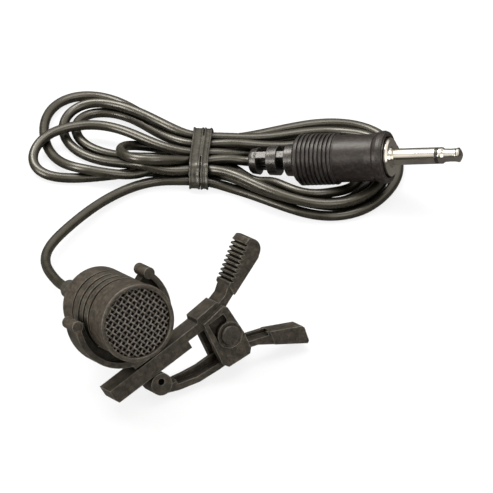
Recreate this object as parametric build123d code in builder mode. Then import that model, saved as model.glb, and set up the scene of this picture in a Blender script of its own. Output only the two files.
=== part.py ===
from build123d import *
import math
import os

# Lavalier microphone: electret capsule with a woven grille, held in a snap ring on a
# swivelling spring clip, and one continuous cable gathered in a hank by a tie and ending
# in a mono 3.5 mm plug. Millimetres, +Z up, the table at z = 0.
#
# Capsule, ring and clip are built in the MIC frame: origin at the centre of the front rim,
# z out of the grille (front), x along the clip jaw towards the thumb pad, y away from the
# clip. The plug is built in the PLUG frame: origin at the cable end, z towards the tip.

os.makedirs("parts", exist_ok=True)

# ------------------------------------------------------------------- frames
MIC = Plane(origin=(-20.8642, -48.1865, 22.4144), x_dir=(0.77139, 0.56952, 0.28387),
            z_dir=(0.43564, -0.79779, 0.41684))
PLUG = Plane(origin=(1.3446, 26.8606, 3.0800), x_dir=(0.26722, 0.96364, 0.0),
             z_dir=(0.93379, -0.25894, 0.24694))

# section planes through each axis: local x = radius, local y = position along the axis
MIC_SECTION = Plane(origin=MIC.origin, x_dir=MIC.x_dir, z_dir=-MIC.y_dir)
PLUG_SECTION = Plane(origin=PLUG.origin, x_dir=PLUG.x_dir, z_dir=-PLUG.y_dir)
MIC_AXIS = Axis(MIC.origin, MIC.z_dir)
PLUG_AXIS = Axis(PLUG.origin, PLUG.z_dir)

CABLE_R = 1.05


# ------------------------------------------------------------------ helpers
def point_in(frame, x, y, z):
    """World position of a point given in a frame."""
    return frame.from_local_coords(Vector(x, y, z))


def twisted(frame, along, angle):
    """Parallel plane moved along the normal, its x axis turned by angle (degrees)."""
    turn = math.radians(angle)
    return Plane(origin=point_in(frame, 0, 0, along),
                 x_dir=frame.x_dir * math.cos(turn) + frame.y_dir * math.sin(turn),
                 z_dir=frame.z_dir)


def revolved(profile, section, axis):
    """Part turned from one closed polygon."""
    with BuildPart() as part:
        with BuildSketch(section):
            with BuildLine():
                Polyline(*profile, close=True)
            make_face()
        revolve(axis=axis)
    return part


def mic_disc(front, depth, outer_r, inner_r=0):
    """Disc or washer on the capsule axis, running back from its front face."""
    with BuildPart() as part:
        with BuildSketch(MIC.offset(front)):
            Circle(outer_r)
            if inner_r:
                Circle(inner_r, mode=Mode.SUBTRACT)
        extrude(amount=-depth)
    return part


def lead_wires(frame, paths, radius):
    """Round wires swept along splines, each leaving its first point along the frame's z."""
    with BuildPart() as part:
        for path in paths:
            points = [point_in(frame, *point) for point in path]
            with BuildLine():
                Spline(*points)
            with BuildSketch(Plane(origin=points[0], z_dir=frame.z_dir)):
                Circle(radius)
            sweep()
    return part


# ------------------------------------------------------------------ capsule
BODY_R = 7.7            # outer radius of the capsule body
BODY_BACK = -20.9       # rear edge of the body
WALL = 0.9
INNER_R = BODY_R - WALL
BEZEL_R = 7.98
BEZEL_BACK = -1.6       # where the bezel meets the housing
GRILLE_R = 7.15
SEAM = -14.9            # seam between housing and rear cap, itself a groove
GROOVES = (-7.15, -9.6, -11.9)
GROOVE_W = 0.95
GROOVE_R = BODY_R - 0.5  # floor of the grooves
CAP_TAIL = -24.6        # end of the domed rear cap
BOOT_END = -34.7        # end of the rubber boot
CAP_BORE_R = CABLE_R + 0.06

with BuildPart() as capsule_housing:
    with BuildSketch(MIC_SECTION):
        with BuildLine():
            Polyline((INNER_R, BEZEL_BACK), (BODY_R, BEZEL_BACK), (BODY_R, SEAM + 0.38),
                     (GROOVE_R, SEAM + 0.3), (GROOVE_R, SEAM), (INNER_R, SEAM), close=True)
        make_face()
        for middle in GROOVES:
            back, front = middle - GROOVE_W / 2, middle + GROOVE_W / 2
            with BuildLine():
                Polyline((BODY_R + 0.2, back), (BODY_R + 0.2, front),
                         (GROOVE_R, front - 0.15), (GROOVE_R, back + 0.15), close=True)
            make_face(mode=Mode.SUBTRACT)
    revolve(axis=MIC_AXIS)

# rim round the grille, with a lip reaching back inside the housing
BEZEL_LIP_R = INNER_R - 0.45
front_bezel = revolved([
    (GRILLE_R - 0.15, -0.35), (GRILLE_R, -0.05), (GRILLE_R + 0.2, 0.0), (BEZEL_R - 0.3, 0.0),
    (BEZEL_R - 0.08, -0.1), (BEZEL_R, -0.35), (BEZEL_R, -1.15), (BODY_R, BEZEL_BACK),
    (INNER_R, BEZEL_BACK), (INNER_R, -2.6), (BEZEL_LIP_R, -2.6), (BEZEL_LIP_R, -1.45),
    (GRILLE_R, -1.45), (GRILLE_R, -0.95), (GRILLE_R - 0.15, -0.9)], MIC_SECTION, MIC_AXIS)

# disc with square openings, the grid turned away from the jaw direction
MESH_FRONT = -0.94
MESH_THICK = 0.34
MESH_ANGLE = 22
MESH_PITCH = 0.98
MESH_HOLE = 0.52
MESH_REACH = GRILLE_R - 0.75    # holes are centred within this radius
mesh_steps = [step * MESH_PITCH for step in range(-8, 9)]
mesh_holes = [(x, y) for x in mesh_steps for y in mesh_steps if math.hypot(x, y) < MESH_REACH]
with BuildPart() as grille_mesh:
    with BuildSketch(twisted(MIC, MESH_FRONT, MESH_ANGLE)):
        Circle(GRILLE_R - 0.02)
        with Locations(*mesh_holes):
            Rectangle(MESH_HOLE, MESH_HOLE, mode=Mode.SUBTRACT)
    extrude(amount=-MESH_THICK)

RETAINER_R = INNER_R - 1.3      # inner radius of the ring behind the grille
grille_retainer = mic_disc(-1.3, 0.9, INNER_R - 0.5, RETAINER_R)
foam_disc = mic_disc(-1.32, 1.2, RETAINER_R - 0.04)

ELEMENT_FRONT = -2.7
ELEMENT_LENGTH = 4.8
ELEMENT_R = 4.85
SOUND_HOLE_R = 0.35
SOUND_HOLE_DEPTH = 0.4
with BuildPart() as electret_element:
    with BuildSketch(MIC.offset(ELEMENT_FRONT)):
        Circle(ELEMENT_R)
    extrude(amount=-ELEMENT_LENGTH)
    # one blind hole in the middle of the front face and six round it
    with BuildSketch(MIC.offset(ELEMENT_FRONT)):
        with PolarLocations(1.6, 6):
            Circle(SOUND_HOLE_R)
        Circle(SOUND_HOLE_R)
    extrude(amount=-SOUND_HOLE_DEPTH, mode=Mode.SUBTRACT)
    # smaller step on the back face
    with BuildSketch(MIC.offset(ELEMENT_FRONT - ELEMENT_LENGTH)):
        Circle(4.2)
    extrude(amount=-0.3)

element_gasket = mic_disc(ELEMENT_FRONT - 0.02, 5.2, INNER_R - 0.02, ELEMENT_R + 0.02)

BOARD_FRONT = -7.95
BOARD_THICK = 1.0
BOARD_HOLE_X = 1.4      # a lead wire runs to each hole
with BuildPart() as element_board:
    with BuildSketch(MIC.offset(BOARD_FRONT)):
        Circle(4.3)
        with Locations((BOARD_HOLE_X, 0), (-BOARD_HOLE_X, 0)):
            Circle(0.42, mode=Mode.SUBTRACT)
    extrude(amount=-BOARD_THICK)

# rear cap: spigot inside the housing, rounded rear edge, cone down to the boot
CAP_SPIGOT_R = INNER_R - 0.05
CAP_EDGE_R = 1.5        # extent of the rounded rear edge
with BuildPart() as rear_cap:
    with BuildSketch(MIC_SECTION):
        with BuildLine():
            Polyline((CAP_SPIGOT_R, SEAM + 1.5), (CAP_SPIGOT_R, SEAM - 0.02),
                     (GROOVE_R, SEAM - 0.02), (GROOVE_R, SEAM - 0.3),
                     (BODY_R, SEAM - 0.38), (BODY_R, BODY_BACK + CAP_EDGE_R))
            ThreePointArc((BODY_R, BODY_BACK + CAP_EDGE_R), (BODY_R - 0.44, BODY_BACK + 0.44),
                          (BODY_R - CAP_EDGE_R, BODY_BACK))
            Line((BODY_R - CAP_EDGE_R, BODY_BACK), (3.4, CAP_TAIL + 1.0))
            Line((3.4, CAP_TAIL + 1.0), (3.0, CAP_TAIL))
            Polyline((3.0, CAP_TAIL), (2.45, CAP_TAIL), (2.45, CAP_TAIL + 1.6),
                     (CAP_BORE_R, CAP_TAIL + 1.6), (CAP_BORE_R, BODY_BACK + 0.2),
                     (5.4, BODY_BACK + 1.8), (5.9, SEAM - 1.2), (5.9, SEAM + 1.5),
                     (CAP_SPIGOT_R, SEAM + 1.5))
        make_face()
    revolve(axis=MIC_AXIS)

# tapered boot, its front end plugged into the tail of the cap
cable_boot = revolved([
    (CAP_BORE_R, CAP_TAIL + 1.55), (2.4, CAP_TAIL + 1.55), (2.4, CAP_TAIL - 0.02),
    (2.9, CAP_TAIL - 0.02), (2.85, CAP_TAIL - 1.2), (2.3, CAP_TAIL - 5.5),
    (1.95, CAP_TAIL - 9.5), (1.7, BOOT_END + 0.4), (1.45, BOOT_END),
    (CAP_BORE_R, BOOT_END)], MIC_SECTION, MIC_AXIS)

# sleeve on the end of the cable inside the cap
cable_crimp = mic_disc(-15.95, 1.2, 2.1, CABLE_R + 0.02)

# from the cable end forward to the board holes
mic_lead_wires = lead_wires(
    MIC,
    [[(0.45 * side, 0, -16.1), (0.7 * side, 0.1, -14.0), (1.35 * side, 0.15, -11.0),
      (BOARD_HOLE_X * side, 0, -9.0)] for side in (-1, 1)],
    0.28)

# -------------------------------------------------------------------- cable
# Stations along the centre line, from the capsule to the plug, in world coordinates:
# x, y, z, then the direction of travel dx, dy, dz.
CABLE_STATIONS = [
    (-27.922, -35.262, 15.662, -0.4356, 0.7978, -0.4168), (-31.833, -28.099, 11.919, -0.4356, 0.7978, -0.4168),
    (-35.745, -20.936, 8.176, -0.4356, 0.7979, -0.4167), (-38.653, -15.235, 5.735, -0.3876, 0.8898, -0.2409),
    (-40.887, -8.655, 4.070, -0.1850, 0.9615, -0.2031), (-41.144, -4.819, 3.382, 0.0678, 0.9868, -0.1468),
    (-40.400, -1.185, 2.932, 0.3195, 0.9427, -0.0961), (-37.290, 4.931, 2.441, 0.5298, 0.8462, -0.0577),
    (-32.157, 12.274, 1.923, 0.6204, 0.7820, -0.0601), (-26.121, 18.521, 1.428, 0.7765, 0.6285, -0.0456),
    (-21.811, 21.256, 1.286, 0.9119, 0.4103, -0.0044), (-18.650, 22.229, 1.340, 0.9857, 0.1642, 0.0375),
    (-14.855, 22.311, 1.558, 0.9930, -0.0947, 0.0707), (-8.012, 21.674, 1.739, 0.9933, -0.0799, -0.0836),
    (-4.502, 20.939, 1.277, 0.9409, -0.3169, -0.1192), (1.872, 18.013, 1.081, 0.8789, -0.4769, 0.0011),
    (9.702, 13.621, 1.080, 0.8856, -0.4645, -0.0000), (15.253, 11.428, 1.080, 0.9744, -0.2246, 0.0000),
    (18.744, 11.075, 1.080, 0.9994, 0.0344, 0.0000), (21.923, 11.605, 1.080, 0.9567, 0.2910, 0.0002),
    (24.954, 12.977, 1.080, 0.8495, 0.5276, -0.0000), (27.789, 15.336, 1.083, 0.6845, 0.7290, 0.0015),
    (30.946, 19.774, 1.086, 0.4736, 0.8807, -0.0013), (32.681, 24.249, 1.080, 0.2304, 0.9731, 0.0009),
    (33.116, 28.589, 1.095, -0.0285, 0.9996, 0.0049), (32.439, 32.908, 1.115, -0.2851, 0.9585, 0.0038),
    (30.972, 36.229, 1.126, -0.5226, 0.8526, 0.0023), (28.935, 38.753, 1.132, -0.7248, 0.6890, 0.0013),
    (26.342, 40.639, 1.135, -0.8779, 0.4789, 0.0004), (22.989, 41.920, 1.134, -0.9717, 0.2363, -0.0008),
    (18.467, 42.383, 1.126, -0.9997, -0.0223, -0.0030), (11.549, 41.222, 1.098, -0.9626, -0.2710, -0.0032),
    (3.051, 38.333, 1.183, -0.9408, -0.3374, 0.0315), (-4.988, 36.090, 1.667, -0.9867, -0.1484, 0.0665),
    (-9.877, 35.851, 1.825, -0.9953, 0.0963, -0.0114), (-11.943, 36.320, 1.770, -0.9360, 0.3500, -0.0377),
    (-14.288, 37.599, 1.644, -0.8139, 0.5785, -0.0537), (-19.094, 42.189, 1.303, -0.6740, 0.7376, -0.0404),
    (-25.166, 48.278, 1.118, -0.7761, 0.6306, -0.0057), (-29.121, 50.777, 1.112, -0.9125, 0.4092, 0.0017),
    (-32.251, 51.733, 1.120, -0.9871, 0.1603, 0.0028), (-34.862, 51.825, 1.127, -0.9951, -0.0992, 0.0023),
    (-37.047, 51.320, 1.131, -0.9361, -0.3519, 0.0012), (-38.905, 50.330, 1.133, -0.8140, -0.5809, -0.0001),
    (-40.515, 48.824, 1.131, -0.6371, -0.7708, -0.0017), (-41.865, 46.653, 1.124, -0.4173, -0.9088, -0.0035),
    (-42.821, 43.486, 1.109, -0.1690, -0.9856, -0.0054), (-42.972, 38.701, 1.085, 0.0907, -0.9959, -0.0057),
    (-41.794, 33.280, 1.186, 0.3294, -0.9416, 0.0691), (-39.782, 29.122, 1.780, 0.5349, -0.8260, 0.1779),
    (-37.332, 26.206, 2.584, 0.7238, -0.6542, 0.2192), (-34.964, 24.537, 3.151, 0.8754, -0.4634, 0.1379),
    (-32.742, 23.653, 3.300, 0.9625, -0.2707, -0.0146), (-29.566, 23.164, 3.009, 0.9883, -0.0474, -0.1447),
    (-23.902, 23.485, 2.232, 0.9891, 0.1422, -0.0379), (-20.908, 24.066, 2.517, 0.9503, 0.2356, 0.2038),
    (-17.026, 25.310, 3.256, 0.9327, 0.3581, 0.0422), (-14.745, 26.211, 3.028, 0.9098, 0.3538, -0.2171),
    (-11.679, 27.158, 2.140, 0.9607, 0.1846, -0.2073), (-9.179, 27.373, 1.856, 0.9985, -0.0147, -0.0527),
    (-6.739, 27.054, 1.757, 0.9633, -0.2678, -0.0203), (-5.050, 26.337, 1.782, 0.8645, -0.4999, 0.0512),
    (-1.164, 23.270, 2.333, 0.7424, -0.6629, 0.0974), (1.732, 20.769, 2.271, 0.7819, -0.6056, -0.1480),
    (4.312, 19.196, 1.612, 0.8873, -0.3978, -0.2334), (7.871, 17.991, 1.099, 0.9613, -0.2740, -0.0296),
    (15.879, 15.794, 1.082, 0.9828, -0.1845, -0.0017), (18.999, 15.567, 1.081, 0.9972, 0.0745, -0.0000),
    (20.907, 15.957, 1.080, 0.9441, 0.3295, 0.0009), (22.691, 16.861, 1.104, 0.8282, 0.5597, 0.0283),
    (24.618, 18.592, 1.224, 0.6569, 0.7522, 0.0520), (26.578, 21.527, 1.325, 0.4465, 0.8948, 0.0018),
    (27.625, 24.496, 1.270, 0.2034, 0.9786, -0.0328), (27.826, 27.022, 1.177, -0.0552, 0.9978, -0.0356),
    (27.446, 29.090, 1.110, -0.3099, 0.9504, -0.0277), (26.668, 30.735, 1.076, -0.5417, 0.8406, -0.0009),
    (25.695, 31.914, 1.137, -0.7226, 0.6847, 0.0944), (24.599, 32.734, 1.355, -0.8442, 0.4903, 0.2165),
    (23.133, 33.349, 1.794, -0.9187, 0.2578, 0.2992), (20.949, 33.632, 2.492, -0.9592, 0.0049, 0.2828),
    (17.326, 33.248, 3.229, -0.9793, -0.1739, 0.1038), (9.406, 31.760, 3.386, -0.9863, -0.1588, 0.0450),
    (1.051, 31.030, 4.388, -0.9940, 0.0195, 0.1076), (-4.479, 31.382, 4.254, -0.9877, 0.0766, -0.1362),
    (-10.257, 31.724, 3.812, -0.9872, 0.1588, -0.0161), (-12.746, 32.450, 3.727, -0.9127, 0.4038, -0.0627),
    (-15.405, 34.085, 3.389, -0.7786, 0.6105, -0.1452), (-20.256, 39.088, 2.395, -0.6512, 0.7494, -0.1199),
    (-25.151, 43.908, 1.627, -0.8015, 0.5892, -0.1023), (-27.892, 45.455, 1.325, -0.9279, 0.3629, -0.0856),
    (-30.015, 45.995, 1.166, -0.9920, 0.1139, -0.0542), (-31.734, 45.979, 1.101, -0.9896, -0.1423, -0.0226),
    (-33.090, 45.605, 1.083, -0.9205, -0.3906, -0.0050), (-34.201, 44.955, 1.083, -0.7904, -0.6126, 0.0040),
    (-35.085, 44.067, 1.090, -0.6080, -0.7939, 0.0071), (-35.723, 42.959, 1.099, -0.3844, -0.9231, 0.0067),
    (-36.107, 41.519, 1.108, -0.1358, -0.9907, 0.0051), (-36.113, 39.703, 1.116, 0.1224, -0.9925, 0.0034),
    (-35.592, 37.701, 1.121, 0.3731, -0.9278, 0.0010), (-34.471, 35.717, 1.120, 0.5991, -0.8007, -0.0017),
    (-32.683, 33.895, 1.112, 0.7851, -0.6194, -0.0042), (-29.898, 32.262, 1.096, 0.9182, -0.3962, -0.0057),
    (-24.890, 30.913, 1.090, 0.9890, -0.1472, 0.0114), (-16.057, 30.310, 1.536, 0.9969, -0.0335, 0.0713),
    (-8.395, 30.130, 1.791, 0.9958, -0.0756, -0.0509), (-6.253, 29.730, 1.594, 0.9395, -0.3189, -0.1254),
    (-4.426, 28.804, 1.314, 0.8250, -0.5507, -0.1269), (-1.251, 26.026, 1.082, 0.6864, -0.7272, -0.0005),
    (1.894, 23.029, 1.111, 0.8072, -0.5852, 0.0772), (3.425, 22.076, 1.463, 0.8356, -0.4565, 0.3054),
    (5.916, 20.540, 2.584, 0.7423, -0.5908, 0.3160), (8.796, 18.001, 3.362, 0.7661, -0.6350, 0.0993),
    (11.573, 16.156, 3.552, 0.9021, -0.4307, 0.0264), (13.582, 15.488, 3.578, 0.9826, -0.1857, -0.0024),
    (15.383, 15.381, 3.544, 0.9967, 0.0709, -0.0391), (17.224, 15.752, 3.404, 0.9431, 0.3110, -0.1175),
    (19.248, 16.707, 2.992, 0.8268, 0.5096, -0.2381), (21.894, 18.862, 2.029, 0.6680, 0.6980, -0.2582),
    (23.824, 21.406, 1.410, 0.5062, 0.8531, -0.1264), (25.049, 24.167, 1.148, 0.2829, 0.9579, -0.0487),
    (25.401, 26.231, 1.089, 0.0309, 0.9994, -0.0122), (25.258, 27.738, 1.080, -0.2264, 0.9740, -0.0017),
    (24.792, 28.993, 1.080, -0.4676, 0.8839, 0.0008), (24.062, 30.024, 1.081, -0.6784, 0.7347, 0.0006),
    (22.962, 30.931, 1.081, -0.8444, 0.5357, -0.0004), (20.920, 31.849, 1.080, -0.9534, 0.3017, -0.0002),
    (15.615, 32.681, 1.080, -0.9989, 0.0467, -0.0008), (7.171, 32.001, 1.349, -0.9775, -0.1920, 0.0872),
    (-1.311, 29.754, 2.733, -0.9403, -0.2412, 0.2401), (-6.514, 28.872, 3.763, -0.9940, -0.0815, 0.0732),
    (-11.887, 28.962, 3.857, -0.9892, 0.1447, 0.0236), (-15.919, 30.154, 4.000, -0.9179, 0.3952, 0.0353),
    (-22.632, 34.154, 4.101, -0.8190, 0.5736, -0.0162), (-28.219, 37.456, 3.892, -0.9254, 0.3773, -0.0348),
    (-31.579, 38.355, 3.794, -0.9918, 0.1260, -0.0199), (-34.972, 38.333, 3.746, -0.9909, -0.1339, -0.0109),
    (-38.625, 37.342, 3.676, -0.9230, -0.3832, -0.0337), (-41.491, 35.726, 3.465, -0.7955, -0.5964, -0.1067),
    (-43.318, 33.981, 3.074, -0.6168, -0.7624, -0.1956), (-44.446, 32.158, 2.589, -0.3945, -0.8880, -0.2364),
    (-44.943, 30.487, 2.161, -0.1465, -0.9613, -0.2331), (-44.976, 28.995, 1.822, 0.1097, -0.9724, -0.2059),
    (-44.659, 27.706, 1.568, 0.3590, -0.9183, -0.1672), (-44.029, 26.562, 1.376, 0.5852, -0.8017, -0.1222),
    (-43.039, 25.521, 1.233, 0.7725, -0.6303, -0.0777), (-41.592, 24.633, 1.137, 0.9095, -0.4141, -0.0376),
    (-39.183, 23.921, 1.086, 0.9857, -0.1686, -0.0075), (-33.991, 23.825, 1.080, 0.9959, 0.0906, 0.0003),
    (-25.131, 25.209, 1.080, 0.9857, 0.1684, -0.0003), (-19.006, 25.721, 1.078, 0.9977, -0.0671, -0.0026),
    (-13.068, 24.828, 1.387, 0.9777, -0.1342, 0.1612), (-8.646, 24.536, 1.843, 0.9933, -0.1040, 0.0506),
    (-6.652, 24.075, 2.035, 0.9287, -0.3433, 0.1402), (-3.931, 22.598, 2.616, 0.8037, -0.5596, 0.2024),
    (1.473, 18.466, 3.367, 0.8227, -0.5684, 0.0116), (8.824, 14.562, 3.328, 0.9357, -0.3509, -0.0358),
    (14.459, 13.133, 2.763, 0.9823, -0.1207, -0.1434), (18.983, 13.144, 2.090, 0.9805, 0.1385, -0.1392),
    (22.051, 13.978, 1.689, 0.9149, 0.3886, -0.1095), (24.552, 15.456, 1.393, 0.7844, 0.6132, -0.0935),
    (27.083, 18.060, 1.131, 0.6053, 0.7947, -0.0449), (29.527, 22.216, 1.153, 0.4165, 0.9055, 0.0815),
    (30.600, 24.990, 1.696, 0.2737, 0.9148, 0.2972), (30.946, 26.658, 2.403, 0.0804, 0.8811, 0.4661),
    (30.891, 28.010, 3.223, -0.1559, 0.8221, 0.5475), (30.468, 29.219, 4.031, -0.4010, 0.7709, 0.4948),
    (29.706, 30.334, 4.667, -0.6044, 0.7183, 0.3446), (28.535, 31.520, 5.079, -0.7393, 0.6602, 0.1324),
    (26.679, 32.994, 5.087, -0.8082, 0.5796, -0.1045), (22.379, 35.507, 4.085, -0.8922, 0.3976, -0.2144),
    (18.730, 36.644, 3.433, -0.9783, 0.1735, -0.1133), (14.767, 36.821, 3.165, -0.9967, -0.0736, -0.0339),
    (6.769, 35.349, 3.088, -0.9776, -0.2090, 0.0248), (-2.109, 34.266, 3.607, -0.9983, -0.0100, 0.0582),
    (-9.956, 34.447, 3.878, -0.9956, 0.0801, 0.0484), (-12.534, 34.970, 4.136, -0.9381, 0.3204, 0.1318),
    (-15.498, 36.469, 4.515, -0.8336, 0.5473, 0.0740), (-21.228, 41.087, 4.376, -0.7559, 0.6499, -0.0791),
    (-27.187, 45.397, 3.656, -0.8792, 0.4648, -0.1050), (-30.838, 46.794, 3.224, -0.9672, 0.2219, -0.1236),
    (-33.233, 47.051, 2.856, -0.9823, -0.0294, -0.1850), (-34.950, 46.783, 2.484, -0.9331, -0.2797, -0.2261),
    (-36.257, 46.197, 2.147, -0.8271, -0.5155, -0.2240), (-37.313, 45.326, 1.850, -0.6685, -0.7172, -0.1966),
    (-38.131, 44.179, 1.597, -0.4655, -0.8714, -0.1550), (-38.693, 42.672, 1.386, -0.2302, -0.9674, -0.1056),
    (-38.904, 40.563, 1.215, 0.0219, -0.9981, -0.0579), (-38.486, 37.889, 1.113, 0.2758, -0.9610, -0.0211),
    (-37.264, 35.081, 1.080, 0.5136, -0.8580, -0.0029), (-35.147, 32.428, 1.104, 0.7164, -0.6974, 0.0222),
    (-31.004, 29.336, 1.517, 0.8407, -0.5200, 0.1512), (-23.974, 25.109, 3.834, 0.8041, -0.4850, 0.3439),
    (-21.509, 23.766, 4.590, 0.9032, -0.4131, 0.1166), (-19.753, 23.110, 4.601, 0.9579, -0.2716, -0.0931),
    (-17.363, 22.735, 4.188, 0.9790, -0.0436, -0.1991), (-12.886, 22.953, 3.757, 0.9965, 0.0838, 0.0067),
    (-8.147, 23.104, 3.878, 0.9899, -0.1213, 0.0728), (-6.586, 22.720, 4.088, 0.9190, -0.3484, 0.1845),
    (-3.766, 21.110, 4.819, 0.8007, -0.5627, 0.2057), (2.003, 16.801, 5.398, 0.8166, -0.5767, -0.0228),
    (8.699, 12.958, 4.984, 0.9217, -0.3770, -0.0914), (13.748, 11.610, 4.394, 0.9853, -0.1276, -0.1132),
    (18.193, 11.590, 3.972, 0.9887, 0.1296, -0.0753), (21.611, 12.487, 3.736, 0.9227, 0.3806, -0.0609),
    (24.398, 14.088, 3.534, 0.7928, 0.6059, -0.0665), (26.832, 16.515, 3.315, 0.6112, 0.7898, -0.0512),
    (28.300, 18.984, 3.249, 0.3939, 0.9191, 0.0097), (29.035, 21.595, 3.332, 0.1457, 0.9885, 0.0410),
    (29.063, 25.285, 3.395, -0.1044, 0.9943, -0.0211), (27.858, 30.740, 3.054, -0.3453, 0.9347, -0.0844),
    (26.648, 33.096, 2.782, -0.5714, 0.8113, -0.1237), (25.108, 34.770, 2.448, -0.7561, 0.6332, -0.1653),
    (22.698, 36.267, 1.932, -0.8925, 0.4130, -0.1813), (18.849, 37.463, 1.304, -0.9775, 0.1802, -0.1100),
    (14.027, 37.752, 1.080, -0.9985, -0.0544, -0.0039), (6.051, 36.258, 1.080, -0.9625, -0.2712, 0.0013),
    (-2.565, 33.781, 1.437, -0.9721, -0.2192, 0.0834), (-9.378, 32.989, 1.810, -0.9997, 0.0035, -0.0253),
    (-15.641, 33.573, 1.147, -0.9866, 0.1479, -0.0687), (-20.448, 34.104, 1.298, -0.9908, 0.0107, 0.1350),
    (-22.555, 33.910, 1.714, -0.9432, -0.2138, 0.2544), (-23.898, 33.428, 2.161, -0.8352, -0.4332, 0.3387),
    (-24.898, 32.728, 2.641, -0.6749, -0.6287, 0.3864), (-25.610, 31.849, 3.131, -0.4705, -0.7859, 0.4013),
    (-26.089, 30.692, 3.679, -0.2332, -0.8875, 0.3974), (-26.264, 29.133, 4.353, 0.0218, -0.9210, 0.3890),
    (-25.967, 27.352, 5.090, 0.2770, -0.8909, 0.3599), (-25.172, 25.645, 5.761, 0.5137, -0.8010, 0.3074),
    (-24.032, 24.292, 6.278, 0.7163, -0.6515, 0.2499), (-22.765, 23.400, 6.625, 0.8710, -0.4566, 0.1814),
    (-21.450, 22.907, 6.824, 0.9679, -0.2333, 0.0935), (-20.022, 22.735, 6.876, 0.9996, -0.0078, -0.0268),
    (-18.454, 22.897, 6.712, 0.9634, 0.2005, -0.1777), (-15.700, 23.836, 5.879, 0.8628, 0.3740, -0.3402),
    (-11.739, 25.546, 4.258, 0.9239, 0.2676, -0.2735), (-9.861, 25.882, 3.908, 0.9914, 0.0974, -0.0869),
    (-5.409, 26.453, 3.943, 0.9815, 0.1901, -0.0247), (-2.061, 27.079, 3.405, 0.9581, 0.1289, -0.2559),
    (-0.272, 27.160, 3.014, 0.9911, -0.0721, -0.1117), (0.777, 27.001, 3.010, 0.9696, -0.2180, 0.1108),
    (5.566, 25.690, 4.196, 0.9338, -0.2589, 0.2469), (13.951, 23.365, 6.414, 0.9338, -0.2589, 0.2469),
]

with BuildPart() as cable_jacket:
    for x, y, z, dx, dy, dz in CABLE_STATIONS:
        travel = Vector(dx, dy, dz)
        sideways = travel.cross(Vector(0, 0, 1))
        with BuildSketch(Plane(origin=(x, y, z), x_dir=sideways, z_dir=travel)):
            Circle(CABLE_R)
    loft(ruled=True)

# Tie: two turns of flat band round the bundle. Section plane across the strands, local x
# along the table, local y up.
TIE_SECTION = Plane(origin=(-9.1174, 28.3818, -0.0200), x_dir=(0.07, 0.99755, 0),
                    z_dir=(0.99755, -0.07, 0))
TIE_TOP = 3.98          # height of the uppermost strand centres
TIE_CORNERS = [(-6.6, 1.98), (7.4, 1.98), (6.0, TIE_TOP), (-5.2, TIE_TOP)]  # strand centres
TIE_TURNS = ((-2.0, 2.25), (0.42, 1.6))     # start along the bundle, width
TIE_OUTER_R = CABLE_R + 0.91
TIE_INNER_R = CABLE_R + 0.47
with BuildPart() as cable_tie:
    for start, width in TIE_TURNS:
        for reach, mode in ((TIE_OUTER_R, Mode.ADD), (TIE_INNER_R, Mode.SUBTRACT)):
            with BuildSketch(TIE_SECTION.offset(start)):
                with BuildLine():
                    Polyline(*TIE_CORNERS, close=True)
                make_face()
                offset(amount=reach, kind=Kind.ARC)
            extrude(amount=width, mode=mode)
    # short bridge between the turns, along the top
    with BuildSketch(TIE_SECTION.offset(0.1)):
        with Locations((0.4, TIE_TOP + CABLE_R + 0.65)):
            Rectangle(7.0, 0.48)
    extrude(amount=0.4)

# --------------------------------------------------------------------- plug
COVER_START = 10.75     # cable end of the cover
COVER_END = 31.45       # front rim of the cover
TIP_END = COVER_END + 16.2
PIN_R = 3.5 / 2
SLEEVE_BORE_R = 1.1
TIP_ROD_R = 0.53
FIT = 0.02              # gap between nested contacts and insulator
RELIEF_BORE_R = CABLE_R + 0.05

# strain relief: three rings (radius, position) joined by two spines
RELIEF_RINGS = [
    [(RELIEF_BORE_R, 0.4), (2.35, 0.4), (2.65, 0.75), (2.9, 2.2), (RELIEF_BORE_R, 2.2)],
    [(RELIEF_BORE_R, 4.6), (3.05, 4.6), (3.2, 6.8), (RELIEF_BORE_R, 6.8)],
    [(RELIEF_BORE_R, 8.75), (3.4, 8.75), (3.5, COVER_START), (3.4, COVER_START),
     (3.4, COVER_START + 1.6), (RELIEF_BORE_R, COVER_START + 1.6)],
]
SPINE_ANGLE = 115
with BuildPart() as plug_strain_relief:
    with BuildSketch(PLUG_SECTION):
        for ring in RELIEF_RINGS:
            with BuildLine():
                Polyline(*ring, close=True)
            make_face()
    revolve(axis=PLUG_AXIS)
    for angle in (SPINE_ANGLE, SPINE_ANGLE + 180):
        with BuildSketch(twisted(PLUG, 1.2, angle)):
            with Locations((2.15, 0)):
                Rectangle(1.3, 1.5)
        extrude(amount=8.2)

# cover: grip ribs behind, plain waist, rounded front rim
RIB_COUNT = 9
RIB_PITCH = 0.95
RIB_ROOT_R = 5.12
RIB_TOP_R = 5.5
RIB_START = COVER_START + 1.0
rib_points = []
for i in range(RIB_COUNT):
    start = RIB_START + i * RIB_PITCH
    rib_points += [(RIB_ROOT_R, start), (RIB_TOP_R, start + 0.16),
                   (RIB_TOP_R, start + 0.52), (RIB_ROOT_R, start + 0.68)]
plug_cover = revolved([
    (3.42, COVER_START), (3.9, COVER_START), (4.7, COVER_START + 0.3),
    (5.1, COVER_START + 0.75), *rib_points, (5.05, RIB_START + RIB_COUNT * RIB_PITCH + 0.1),
    (5.0, COVER_END - 4.0), (5.08, COVER_END - 2.6), (5.4, COVER_END - 2.1),
    (5.6, COVER_END - 1.4), (5.62, COVER_END - 0.7), (5.4, COVER_END - 0.15),
    (5.05, COVER_END), (4.5, COVER_END - 0.1), (4.2, COVER_END - 0.4),
    (4.2, COVER_END - 2.0), (3.9, COVER_END - 2.0), (3.9, COVER_START + 1.65),
    (3.42, COVER_START + 1.65)], PLUG_SECTION, PLUG_AXIS)

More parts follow.
